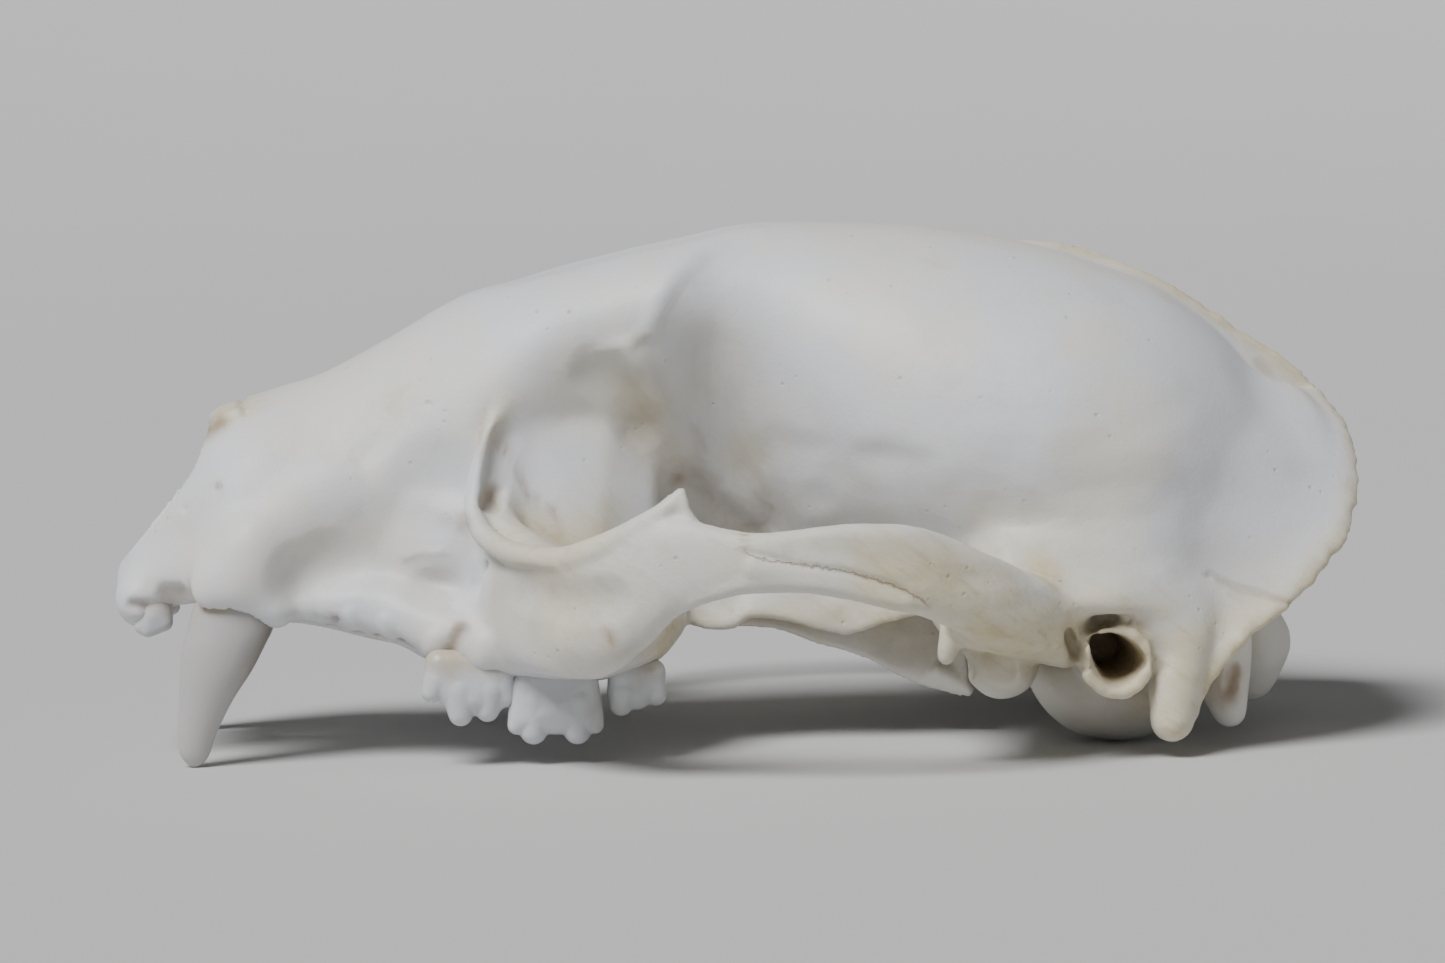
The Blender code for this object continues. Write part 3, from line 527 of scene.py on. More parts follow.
# The skull's main masses, as one fused bone
skullShape = {
    "roughVoxel": 0.42, "fineVoxel": 0.30, "roughSmoothing": 12, "fineSmoothing": 4,
    "triangles": 192000,
    # pairs of x and a height, a half width or how square the oval is there
    "top": [(0.4, 17.4), (4, 23.6), (7.3, 28.3), (10.3, 31.9), (14, 33.5), (20, 35.2), (28, 39.3),
            (32, 41.5), (36, 43.2), (40, 44.4), (44, 45.4), (52, 46.9), (60, 48.4), (68, 48.4),
            (82, 47.0), (92, 44.6), (100, 41.0), (106, 36.3), (111, 29.5)],
    "bottom": [(0.4, 14.2), (4, 13.6), (10, 14.6), (20, 13.2), (30, 11.5), (44, 12.5), (56, 13.5),
               (66, 13.0), (78, 12.0), (90, 9.5), (102, 8.5), (111, 11.0)],
    "halfWidth": [(0.4, 3.4), (2, 6.0), (4, 7.8), (7, 10.0), (10, 12.0), (14, 13.2), (20, 12.8),
                  (28, 13.4), (34, 14.0), (40, 13.3), (46, 13.0), (51, 13.9), (58, 12.2),
                  (62, 13.4), (67, 17.4), (74, 21.8), (82, 24.4), (89, 24.8), (97, 23.2),
                  (104, 19.0), (108, 15.0), (111, 10.0)],
    "widest": [(0.4, 15.6), (7, 18.0), (14, 19.0), (26, 21.0), (33, 26.0), (40, 35.5), (48, 39.5),
               (56, 41.0), (61, 38.5), (67, 33.0), (76, 29.0), (90, 27.0), (104, 22.0), (111, 19.0)],
    "upperPower": [(0.4, 2.0), (20, 2.0), (36, 2.2), (52, 2.4), (66, 2.1), (111, 2.1)],
    "lowerPower": [(0.4, 2.6), (24, 2.6), (34, 1.9), (44, 1.35), (58, 1.4), (68, 1.8), (80, 2.2),
                   (111, 2.2)],
}
jawShape = {
    "halfWidth": [(8, 12.2), (12, 13.2), (18, 13.6), (24, 14.8), (30, 17.6), (36, 20.0), (42, 21.0),
                  (47, 20.2), (51, 17.6), (53.5, 13.5)],
    "margin": [(8, 15.0), (10.7, 14.8), (13, 14.0), (15.3, 12.6), (18, 12.3), (21, 11.6), (24.5, 10.7),
               (27, 10.2), (29, 9.1), (33, 7.9), (38, 7.1), (45, 6.9), (48, 7.4), (51.5, 8.8),
               (53.5, 10.8)],
    "top": [(8, 22.0), (18, 21.5), (26, 20.0), (31, 18.0), (36, 18.0), (44, 17.5), (53.5, 15.0)],
    "widestRise": 3.5, "powers": (2.0, 3.4),
    "palateHalfWidth": [(6, 5.5), (12, 7.2), (24, 8.6), (36, 10.6), (46, 11.2), (54, 8.6), (62, 7.6)],
    "palateRoof": [(6, 16.0), (12, 16.0), (20, 14.9), (30, 13.2), (40, 11.8), (50, 11.4), (62, 11.6)],
    # x, y, z, half height and half width of the bony tube behind the palate and of its air way
    "tube": [(44, 0, 14.5, 3.6, 8.6), (54, 0, 14.6, 3.6, 7.8), (64, 0, 14.2, 3.6, 7.0),
             (74, 0, 14.4, 3.2, 6.8), (82, 0, 14.4, 2.8, 7.4)],
    "airWay": [(56, 0, 14.4, 1.2, 3.0), (61, 0, 14.3, 2.0, 4.8), (65, 0, 14.0, 2.1, 5.0),
               (67, 0, 12.5, 3.1, 5.2), (72, 0, 11.9, 2.7, 5.3), (82, 0, 10.4, 2.0, 5.4)],
    # the edges of the air way and of the spinal opening, which are smoothed
    "airEdge": [(66.0, 0, 11.0), (66.0, 4.6, 11.4)],
    "spineEdge": [(107.0, 0, 9.8), (106.0, 2.6, 9.8), (104.5, 4.4, 9.6)],
    "ridgeRoots": [(50, 6.4, 15.5), (58, 5.6, 17.0), (66, 5.6, 18.0), (72, 6.4, 18.0), (78, 8.5, 18.0)],
    "ridgeTips": [(51.5, 9.2, 12.4), (55, 9.6, 11.1), (57.7, 9.8, 10.9), (59.4, 9.8, 11.9),
                  (62.5, 9.8, 11.5), (65.8, 9.9, 10.7), (68.6, 10.0, 10.1), (71.6, 10.6, 10.9),
                  (75.4, 12.0, 12.2)],
    "lip": ((2.8, 4.6, 15.0), (2.5, 3.3, 2.9)),
    "nasalTip": ((12.2, 0, 32.0), (2.8, 4.9, 0.85)), "nasalTilt": -14,
    # the thin wing on each side of the air way, down to its hook
    "wingRoots": [(50, 7.4, 14.0), (54, 7.4, 14.5), (58, 6.8, 15.0), (62, 6.5, 15.3), (66, 6.4, 15.5),
                  (70, 6.2, 15.5), (74, 6.0, 15.5), (78, 6.0, 15.0), (80, 6.0, 14.5)],
    "wingTips": [(50, 8.0, 12.4), (54, 7.8, 11.3), (58, 7.2, 10.9), (62, 6.9, 10.5), (66, 6.6, 8.9),
                 (70, 6.3, 7.5), (74, 6.0, 5.3), (78, 6.2, 3.8), (80.3, 6.4, 3.5)],
    "wingHook": ((77, 6.1, 6.4), (80.6, 6.4, 3.9), 1.2, 0.5),
    "wingThick": (2.0, 0.9), "ridgeThick": (5.0, 1.0),  # at the root and at the tip
}
archShape = {
    "stations": [(35.0, 12.5, 14.2, 5.2, 2.6), (38.2, 19.6, 14.9, 5.9, 3.0),
                 (41.2, 25.2, 14.8, 5.9, 2.5),
                 (45, 29.6, 15.4, 6.2, 2.1), (48.6, 32.2, 18.0, 5.8, 1.8), (52, 34.0, 19.7, 4.2, 1.6),
                 (58, 35.6, 19.8, 2.8, 1.4), (65, 35.8, 19.9, 3.2, 1.4), (71, 35.2, 19.0, 3.9, 1.5),
                 (76, 33.2, 17.2, 4.2, 2.0), (80.2, 30.4, 14.8, 4.2, 3.0), (84.4, 26.0, 13.2, 3.6, 3.6),
                 (88.6, 20.0, 12.5, 3.6, 3.6)],
    # the bead round the front of the orbit, from the cheek spike to the brow, with its radius
    "rim": [(51.6, 33.4, 25.2, 0.7), (49.2, 32.6, 23.4, 1.1), (45.4, 30.6, 21.0, 1.4),
            (42.0, 27.8, 19.7, 1.3), (38.8, 24.6, 19.7, 1.15), (36.2, 21.6, 20.4, 1.1),
            (34.5, 18.9, 21.8, 1.05), (33.9, 17.1, 23.6, 0.95), (34.1, 16.1, 25.6, 0.85),
            (34.7, 15.2, 28.0, 0.75), (35.6, 14.3, 30.4, 0.6), (37.2, 13.4, 32.7, 0.5),
            (39.8, 12.8, 34.6, 0.4), (42.6, 12.6, 35.9, 0.4), (46.0, 12.8, 37.2, 0.45),
            (48.6, 13.2, 38.2, 0.55), (50.3, 13.2, 39.0, 0.5)],
    "web": [(44.0, 24.0, 17.0, 2.6), (39.8, 20.4, 18.3, 2.4), (36.5, 16.8, 21.0, 2.0),
            (35.4, 14.6, 24.6, 1.5), (35.8, 13.1, 28.6, 1.2)],
    "shelf": [(82.6, 14.0, 15.0, 5.2, 7.0), (81.6, 20.0, 13.8, 3.8, 6.2), (80.6, 26.0, 13.3, 3.1, 5.0),
              (79.4, 31.0, 14.2, 3.0, 3.6)],
    # the ledge over the ear hole, from the arch's top edge back to the mastoid
    "ledgeRoots": [(79.5, 19.5, 21.0), (83.0, 20.6, 22.5), (87.0, 21.0, 23.5), (91.0, 21.0, 23.0),
                   (95.0, 20.4, 21.5), (99.0, 19.4, 18.0)],
    "ledgeTips": [(81.5, 29.6, 15.9), (84.0, 28.7, 14.2), (87.0, 27.9, 13.3), (91.0, 27.6, 13.2),
                  (94.4, 26.9, 12.5), (98.4, 25.6, 10.0)],
    "mastoid": [(98.0, 22.6, 12.0, 3.6), (97.0, 24.6, 6.6, 2.7), (96.5, 25.4, 3.3, 2.05)],
    "spikeRoots": [(45.5, 30.0, 19.5), (49.0, 32.0, 20.0), (51.4, 33.2, 20.5), (52.8, 34.0, 20.0),
                   (54.4, 34.6, 19.5)],
    "spikeTips": [(46.6, 31.0, 22.9), (49.4, 32.0, 24.6), (52.2, 33.2, 26.6), (53.0, 33.8, 24.4),
                  (54.0, 34.6, 22.6)],
    "tearBlend": [(39.4, 13.4, 29.0), (39.6, 13.8, 25.4), (40.4, 14.8, 22.4), (42.4, 16.4, 20.6)],
    "browBlend": [(37.2, 13.3, 32.7), (39.8, 12.9, 34.6), (42.6, 12.7, 35.9), (47.0, 13.0, 37.5)],
    "bulgeBlend": [(8.0, 11.0, 15.5), (8.2, 11.2, 18.0), (9.0, 11.6, 20.5)],
    "faceBlend": [(26.0, 14.4, 18.0), (29.5, 15.0, 17.2), (33.0, 16.0, 16.8)],
    "snoutBlend": [(17.5, 12.8, 17.5), (14.5, 13.0, 20.5), (10.5, 12.0, 20.5), (7.5, 9.5, 18.0)],
    "canineBulge": [(9.9, 12.2, 16.6, 2.1), (12.2, 12.9, 16.3, 2.1), (14.4, 13.1, 15.2, 2.0),
                    (15.7, 13.0, 14.4, 1.9), (13.4, 11.4, 20.8, 3.0), (11.0, 11.0, 19.5, 2.8)],
    # fills between the cheek's root, the rim and the side of the snout
    "rootFill": [(28.5, 11.2, 19.8, 3.2), (33.5, 12.4, 19.2, 3.3), (35.0, 13.0, 21.5, 2.8),
                 (29.5, 11.2, 23.5, 3.0)],
    "tearFill": [(36.5, 12.4, 22.0, 3.2), (36.0, 12.2, 26.0, 3.0), (36.0, 11.6, 29.5, 2.6),
                 (36.5, 9.0, 22.0, 3.0), (36.0, 9.0, 28.0, 3.0)],
    "orbitFloor": [(37.0, 12.0, 20.6, 2.6), (44.0, 14.0, 18.4, 2.6), (48.4, 11.5, 18.6, 2.2),
                   (38.5, 10.0, 30.5, 2.6), (46.0, 8.0, 31.5, 2.6), (49.4, 8.0, 26.5, 2.2)],
    "condyle": [(102.5, 7.6, 13.5, 4.0), (105.0, 10.4, 12.5, 3.0), (106.7, 8.6, 8.3, 3.9),
                (106.4, 8.0, 5.5, 3.0), (103.0, 6.6, 7.0, 2.4)],
    "rearFoot": [(100.6, 15.6, 12.5, 4.2), (102.6, 20.0, 11.0, 2.4), (102.7, 18.2, 7.0, 2.4),
                 (103.0, 18.4, 3.1, 1.7)],
    "jointPlate": [(79.0, 29.5, 13.0, 1.6), (76.8, 26.5, 12.4, 1.3), (84.0, 27.2, 11.0, 1.7),
                   (87.2, 25.5, 9.8, 1.6), (80.0, 22.0, 11.5, 1.6), (87.0, 20.0, 10.5, 1.6)],
    "ledgeThick": (6.0, 2.4), "spikeThick": (2.4, 1.2),  # at the root and at the tip
    "jointStop": ((81.6, 20.6, 8.9), (3.6, 5.0, 3.6)), "jointTilt": 8,
    "jointLip": [(77.0, 26.0, 13.0, 1.4), (75.9, 27.0, 10.0, 0.85), (77.0, 23.5, 12.0, 1.2)],
}
crestShape = {
    "tips": [(115.6, 0, 30.8), (116.8, 6.5, 27.8), (116.9, 12.0, 24.0), (115.0, 17.0, 19.6),
             (111.4, 20.6, 15.6), (107.6, 23.0, 12.6), (103.8, 24.4, 10.2), (100.8, 25.0, 7.4),
             (99.0, 25.2, 4.6)],
    "roots": [(102.0, 8.0, 33.0), (100.0, 15.0, 30.0), (98.8, 18.8, 26.0), (98.0, 19.9, 20.5),
              (97.6, 20.3, 16.5), (97.2, 20.6, 13.5), (97.0, 21.0, 11.5), (96.8, 21.8, 9.0),
              (96.6, 22.6, 6.0)],
    "ridge": [(78, 0, 46.0), (86, 0, 46.4), (92, 0, 45.6), (97.7, 0, 43.5), (105.2, 0, 39.0),
              (111, 0, 35.0), (114.8, 0, 31.4)],
    "fillRoots": [(99, 7.0, 35.0), (97, 12.6, 32.6), (96, 16.6, 29.2), (95.4, 18.8, 25.0),
                  (95.2, 19.4, 20.5), (95.2, 19.4, 16.5), (95.4, 19.4, 12.5)],
    "fillTips": [(113.4, 3.0, 31.6), (115.0, 7.4, 28.7), (115.2, 12.1, 24.7), (113.2, 16.6, 20.4),
                 (109.8, 19.8, 16.8), (106.4, 21.9, 13.8), (103.0, 23.2, 11.2)],
    "valley": [(106, 6, 35.5), (105, 12.5, 31), (104, 17, 26), (103, 19.5, 20.5), (101, 21.5, 16),
               (98.5, 23, 13.5)],
    "slope": [(97, 3, 41.8), (104, 3.6, 37.6), (110, 5, 33.5), (111.5, 10, 29), (110, 14.6, 24),
              (106.5, 18.4, 19), (103, 20.8, 15)],
    "thick": (6.0, 1.3), "fillThick": (7.0, 1.8), "ridgeThick": (7.0, 1.0),  # at root and tip
    "ridgeForward": 4.0, "ridgeDepth": 5.0,
    "grains": 26, "grainSize": 0.22, "grainSpread": 0.12, "grainVoxel": 0.16, "seed": 7,
    # small bites out of the rim: x, y, z and radius, and how much wider than high
    "notchStretch": 1.6,
    "notches": [(109.4, 0.4, 36.6, 0.5), (113.0, 0.6, 33.6, 0.4), (117.0, 3.2, 29.9, 0.6),
                (118.0, 9.0, 26.3, 0.55), (118.0, 11.8, 24.3, 0.4), (116.6, 16.4, 20.6, 0.7),
                (114.6, 19.0, 17.8, 0.45), (109.8, 22.6, 14.2, 0.55), (105.6, 24.8, 11.4, 0.45)],
}
earShape = {
    "bulla": ((93.2, 13.0, 7.1), (8.3, 6.8, 7.15)), "seat": ((93, 13.5, 13.8), (9.5, 8.5, 4.8)),
    "back": ((95.5, 20, 12.5), (6.5, 6.5, 5.0)), "chamber": ((92.4, 13.6, 8.2), (6.2, 5.0, 5.2)),
    "hole": (91.4, 9.2), "tube": 3.3, "start": 12, "end": 27.6,
    # how far inside the tube's end and wall it stops and the lip lies, and how the lip leans
    "tubeInset": 0.5, "lipInset": 0.4, "lipWall": 0.3, "lipLean": 0.5,
    # the mouth of the hole, as x and z from its centre
    "mouth": [(-2.6, 1.7), (-2.2, 2.4), (-1.1, 2.55), (0.4, 2.3), (1.5, 1.7), (2.3, 0.8), (2.7, -0.3),
              (2.3, -1.2), (1.5, -1.9), (0.5, -2.3), (-0.6, -2.2), (-1.2, -1.6), (-1.8, -0.6),
              (-2.4, 0.6)],
    # the hole's rings: y and size
    "bore": [(14, 0.7), (22, 0.8), (26.4, 0.97), (30.6, 1.1)],
    # the lip round the ear hole: angle and thickness, thick low in front and open at the top
    "ring": [(140, 0.25), (165, 0.42), (200, 0.6), (235, 0.66), (275, 0.55), (320, 0.42), (368, 0.3)],
    # hollows above the hole and in front of it
    "recesses": [((90.8, 28.6, 12.0), (3.7, 3.0, 0.95), -6),
                 ((87.5, 28.4, 10.4), (0.75, 2.6, 2.3), -24)],
}
# Where the rough and then the fine skin is smoothed: a path, its radius and the steps
roughBlends = [
    (crestShape["valley"], 9.0, 110), (crestShape["fillTips"], 3.4, 70),
    (archShape["ledgeRoots"], 6.0, 60), (archShape["snoutBlend"], 5.0, 70),
    (archShape["bulgeBlend"], 3.6, 60), (archShape["faceBlend"], 3.6, 70),
]
fineBlends = [
    (crestShape["valley"], 7.0, 60), (crestShape["slope"], 4.5, 60),
    (crestShape["fillTips"], 3.0, 50), (crestShape["tips"], 3.0, 14),
    (archShape["tearBlend"], 3.8, 110), (archShape["browBlend"], 2.4, 40),
    (jawShape["airEdge"], 1.8, 16), (jawShape["spineEdge"], 2.4, 24),
]


def mainMasses():
    shape, jaw, arch, ear, crest = skullShape, jawShape, archShape, earShape, crestShape
    masses = newGroup("masses")
    rows = [shape[name] for name in ("top", "bottom", "halfWidth", "widest", "upperPower", "lowerPower")]
    rings = [bodyRing(x, *(along(row, x) for row in rows))
             for x in np.linspace(shape["top"][0][0], shape["top"][-1][0], 120)]
    skin = loft("skullBone", rings, bpy.context.scene.collection)
    rings = []
    for x in np.linspace(jaw["margin"][0][0], jaw["margin"][-1][0], 60):
        low = along(jaw["margin"], x)
        rings.append(bodyRing(x, along(jaw["top"], x), low, along(jaw["halfWidth"], x),
                              low + jaw["widestRise"], *jaw["powers"]))
    loft("upperJaw", rings, masses)
    bar("palateTube", jaw["tube"], masses, power=3.0)
    for side in bothSides:
        bar("arch", arch["stations"], masses, side)
        chain("orbitWeb", arch["web"], masses, side)
        bar("shelf", arch["shelf"], masses, side, power=2.6)
        blade("earLedge", arch["ledgeRoots"], arch["ledgeTips"], *arch["ledgeThick"], masses, side)
        for name in ("mastoid", "jointPlate", "canineBulge", "rootFill", "tearFill", "orbitFloor",
                     "condyle", "rearFoot"):
            hull(name, arch[name], masses, side)
        blade("crestFill", crest["fillRoots"], crest["fillTips"], *crest["fillThick"], masses, side)
        ball("noseLip", *jaw["lip"], masses, side)
        for name in ("bulla", "seat", "back"):
            ball(name, *ear[name], masses, side)
    combine(skin, "UNION", masses)
    voxelSkin(skin, shape["roughVoxel"], shape["roughSmoothing"])
    for path, radius, steps in roughBlends:
        soften(skin, path, radius, steps)
    return skin


def rimGrains(material):
    # small knobs that follow the free edge of the crests, as one tree's points on a path
    shape = crestShape
    path = bpy.data.curves.new("crestEdge", "CURVE")
    path.dimensions = "3D"
    rimRow = alongPath(shape["tips"], 90)
    rows = [toFrame(rimRow, side) for side in bothSides] + [toFrame(alongPath(shape["ridge"][4:], 60))]
    for row in rows:
        spline = path.splines.new("POLY")
        spline.points.add(len(row) - 1)
        for point, place in zip(spline.points, row):
            point.co = (*place, 1.0)
    source = bpy.data.objects.new("crestEdge", path)
    bpy.context.scene.collection.objects.link(source)
    tree, sheet = newTree("crest grains", {"Count": 1, "Size": 1.0, "Spread": 1.0, "Seed": 1})
    given = sheet.inputs
    points = sheet.node("GeometryNodeCurveToPoints", {"mode": "COUNT"},
                        {"Curve": given["Geometry"], "Count": given["Count"]}, "Points")
    shift = sheet.node("FunctionNodeRandomValue", {"data_type": "FLOAT_VECTOR"},
                       {0: (-1.0, -1.0, -1.0), 1: (1.0, 1.0, 1.0), "Seed": given["Seed"]})
    reach = sheet.node("ShaderNodeVectorMath", {"operation": "SCALE"},
                       {0: shift, "Scale": given["Spread"]})
    moved = sheet.node("GeometryNodeSetPosition", {}, {"Geometry": points, "Offset": reach})
    grain = sheet.node("GeometryNodeMeshIcoSphere", {},
                       {"Radius": given["Size"], "Subdivisions": 2}, "Mesh")
    squeeze = sheet.node("FunctionNodeRandomValue", {"data_type": "FLOAT_VECTOR"},
                         {0: (0.3, 0.3, 0.3), 1: (1.9, 1.2, 1.9), "Seed": given["Seed"] + 1})
    scattered = sheet.node("GeometryNodeInstanceOnPoints", {},
                           {"Points": moved, "Instance": grain, "Scale": squeeze}, "Instances")
    endTree(tree, sheet, scattered, material)
    addTree(source, tree, {"Count": shape["grains"], "Size": shape["grainSize"] * mm,
                           "Spread": shape["grainSpread"] * mm, "Seed": shape["seed"]})
    mesh = evaluatedMesh(source)
    bpy.data.objects.remove(source, do_unlink=True)
    return mesh


def fineMasses(skin, material):
    arch, ear, crest, jaw = archShape, earShape, crestShape, jawShape
    details = newGroup("details")
    holeX, holeZ = ear["hole"]
    for side in bothSides:
        tube("orbitBead", alongPath(arch["rim"], 90), details, side)
        tubeEnd = (holeX, ear["end"] - ear["tubeInset"], holeZ)
        rod("earTube", (holeX, ear["start"], holeZ), tubeEnd, ear["tube"], ear["tube"], details, side)
        angles = alongPath(ear["ring"], 40)
        reach, end = ear["tube"] - ear["lipWall"], ear["end"] - ear["lipInset"]
        lip = [(holeX + reach * cos(a), end - ear["lipLean"] * cos(a), holeZ + reach * sin(a), r)
               for a, r in zip(np.radians(angles[:, 0]), angles[:, 1])]
        tube("earLip", lip, details, side)
        ball("jointStop", *arch["jointStop"], details, side, arch["jointTilt"])
        hull("jointLip", arch["jointLip"], details, side)
        blade("cheekSpike", arch["spikeRoots"], arch["spikeTips"], *arch["spikeThick"], details,
              side)
        blade("wingPlate", jaw["wingRoots"], jaw["wingTips"], *jaw["wingThick"], details, side)
        blade("wingRidge", jaw["ridgeRoots"], jaw["ridgeTips"], *jaw["ridgeThick"], details,
              side)
        rod("wingHook", *jaw["wingHook"], details, side)
        blade("nuchalCrest", crest["roots"], crest["tips"], *crest["thick"], details, side)
    ridgeRoots = [(x - crest["ridgeForward"], y, z - crest["ridgeDepth"]) for x, y, z in crest["ridge"]]
    blade("sagittalCrest", ridgeRoots, crest["ridge"], *crest["ridgeThick"], details)
    ball("nasalTip", *jaw["nasalTip"], details, tilt=jaw["nasalTilt"])
    combine(skin, "UNION", details)
    return rimGrains(material)


hollowShape = {
    "nose": [(-6, 18.5, 32.5, 5.6), (2, 18.0, 31.5, 5.8), (8, 18.2, 30.8, 6.6), (16, 18.4, 30.8, 6.8),
             (24, 18.8, 31.0, 6.2), (31, 20.0, 30.0, 4.6), (35, 22.0, 28.0, 2.5)],
    "eye": ((45.8, 20.3, 29.8), (10.9, 11.0, 9.8)),
    "eyeRear": ((56.0, 22.5, 25.5), (10.0, 11.5, 8.0)),
    "brainDoor": ((108, 0, 14.0), (15.5, 6.5, 4.7)), "doorTilt": 8,
    "brainRoom": ((88, 0, 24.0), (17.0, 14.0, 12.0)),
    "jointGroove": ((79.6, 24.6, 7.6), (79.2, 36, 7.8), 2.9, 2.9),
    "jointSlot": ((77.4, 17.5, 8.2), (77.6, 25.5, 8.2), 1.5, 1.5),
    "cheekCleft": [(31.8, 16.8, 20.6, 0.9), (33.5, 17.1, 18.4, 1.3), (33.5, 17.1, 16.6, 1.3),
                   (31.6, 16.8, 15.0, 0.9)],
    # round holes: start, end and radius, and how they narrow inwards
    "holeTaper": 0.8, "socketTaper": 0.6,
    "holes": [((34.4, 17.4, 18.0), (41, 19.2, 18.2), 0.8),
              ((39.0, 16.6, 27.4), (36.0, 13.0, 27.0), 0.25),
              ((38.0, 16.0, 21.4), (36.0, 13.0, 21.0), 0.3),
              ((53.0, 10.5, 24.9), (56, 4.0, 24.0), 0.42), ((57.6, 12.0, 18.0), (62, 5.0, 17.4), 0.8),
              ((60.5, 13.0, 17.0), (67, 7.0, 16.4), 0.8), ((43.5, 8.0, 20.4), (46, 3.0, 18.0), 0.6),
              ((39.0, 6.8, 9.5), (40.0, 6.2, 13.0), 0.6), ((34.0, 5.4, 10.0), (35.5, 5.0, 13.8), 0.45),
              ((86.0, 12.5, 8.0), (87.0, 10.5, 15.0), 0.9),
              ((101.5, 12.8, 6.0), (100.5, 11.0, 13.0), 1.5),
              ((104.5, 6.5, 7.0), (102.5, 7.0, 12.5), 0.8), ((88.5, 7.2, 6.0), (90, 9.0, 12.0), 0.7),
              ((84.6, 16.5, 8.0), (86.0, 14.5, 13.5), 0.8), ((7.6, 3.6, 30.5), (11.4, 7.2, 30.6), 0.5)],
    "incisorSeat": ((5.2, 8.4, 11.6), (1.5, 1.5, 1.6)),
    "palateSlits": [(9.4, 2.3, 13.0, 2.6, 1.05)],
    "sockets": [(1.9, 1.6, 14.0, 0.75), (2.5, 4.2, 13.9, 0.85), (18.2, 11.4, 12.9, 1.0),
                (20.6, 11.8, 12.3, 0.95), (22.8, 12.4, 11.8, 1.0), (25.0, 13.4, 11.2, 1.05),
                (27.2, 14.6, 10.4, 1.1)],
}


def cutHollows(skin):
    shape, jaw, ear = hollowShape, jawShape, earShape
    cutters = newGroup("cutters")
    rings = [bodyRing(x, high, low, half, 0.45 * low + 0.55 * high, 2.2, 2.2, 48)
             for x, low, high, half in shape["nose"]]
    loft("noseHollow", rings, cutters)
    rings = []
    for x in np.linspace(jaw["palateRoof"][0][0], jaw["palateRoof"][-1][0], 40):
        roof = along(jaw["palateRoof"], x)
        rings.append(bodyRing(x, roof, roof - 12, along(jaw["palateHalfWidth"], x), roof - 7,
                              3.0, 2.0, 40))
    loft("palateVault", rings, cutters)
    ball("brainDoor", *shape["brainDoor"], cutters, tilt=shape["doorTilt"])
    ball("brainRoom", *shape["brainRoom"], cutters)
    bar("airWay", jaw["airWay"], cutters, power=2.6)
    holeX, holeZ = ear["hole"]
    for side in bothSides:
        for *place, radius in crestShape["notches"]:
            radii = (radius, radius * crestShape["notchStretch"], radius)
            ball("notch", place, radii, cutters, side, detail=3)
        ball("eye", *shape["eye"], cutters, side)
        ball("eyeRear", *shape["eyeRear"], cutters, side)
        ball("earRoom", *ear["chamber"], cutters, side)
        mouth = alongPath(ear["mouth"] + ear["mouth"][:1], 40)[:-1]
        rings = [np.column_stack([holeX + mouth[:, 0] * size, np.full(len(mouth), y),
                                  holeZ + mouth[:, 1] * size]) for y, size in ear["bore"]]
        loft("earHole", rings, cutters, side)
        for centre, radii, tilt in ear["recesses"]:
            ball("earRecess", centre, radii, cutters, side, tilt)
        hull("cheekCleft", shape["cheekCleft"], cutters, side)
        for name in ("jointGroove", "jointSlot"):
            rod(name, *shape[name], cutters, side)
        for start, end, radius in shape["holes"]:
            rod("nerveHole", start, end, radius, radius * shape["holeTaper"], cutters, side)
        for x, y, z, length, width in shape["palateSlits"]:
            ball("palateSlit", (x, y, z + 2), (length, width, 4.0), cutters, side)
        for x, y, z, radius in shape["sockets"]:
            deep = (x + 0.6, y - 0.2, z + 2.6)  # leans back as a root does
            rod("socket", (x, y, z - 3), deep, radius, radius * shape["socketTaper"], cutters, side)
        canineForm("canineSeat", cutters, side)
        ball("incisorSeat", *shape["incisorSeat"], cutters, side)
    combine(skin, "DIFFERENCE", cutters)


canineShape = {
    # height above the floor, front edge and rear edge
    "outline": [(0.0, 7.5, 8.1), (0.5, 6.9, 8.7), (1.2, 6.45, 9.15), (2.4, 6.25, 9.6), (4.0, 6.3, 10.3),
                (6.2, 6.5, 11.5), (9.0, 6.65, 13.4), (11.2, 6.9, 14.6), (12.3, 7.3, 15.2),
                (14.8, 8.1, 16.1), (17.0, 9.6, 17.0), (19.5, 12.0, 17.0)],
    "sideways": [(0, 12.9), (8, 12.3), (14, 11.4), (19.5, 10.2)],
    "thickness": 0.72, "rings": 90, "sides": 64, "seatGap": 0.12,
}


def canineForm(name, group, side):
    # the tooth's own form with room round it, to cut its seat
    shape, gap = canineShape, canineShape["seatGap"]
    across, up = ovalPoints(32, 2.0)
    rings = []
    for z, front, rear in shape["outline"]:
        half = (rear - front) / 2
        y = along(shape["sideways"], z) + across * (half * shape["thickness"] + gap)
        rings.append(np.column_stack([(front + rear) / 2 + up * (half + gap), y, np.full(len(y), z)]))
    return loft(name, rings, group, side)


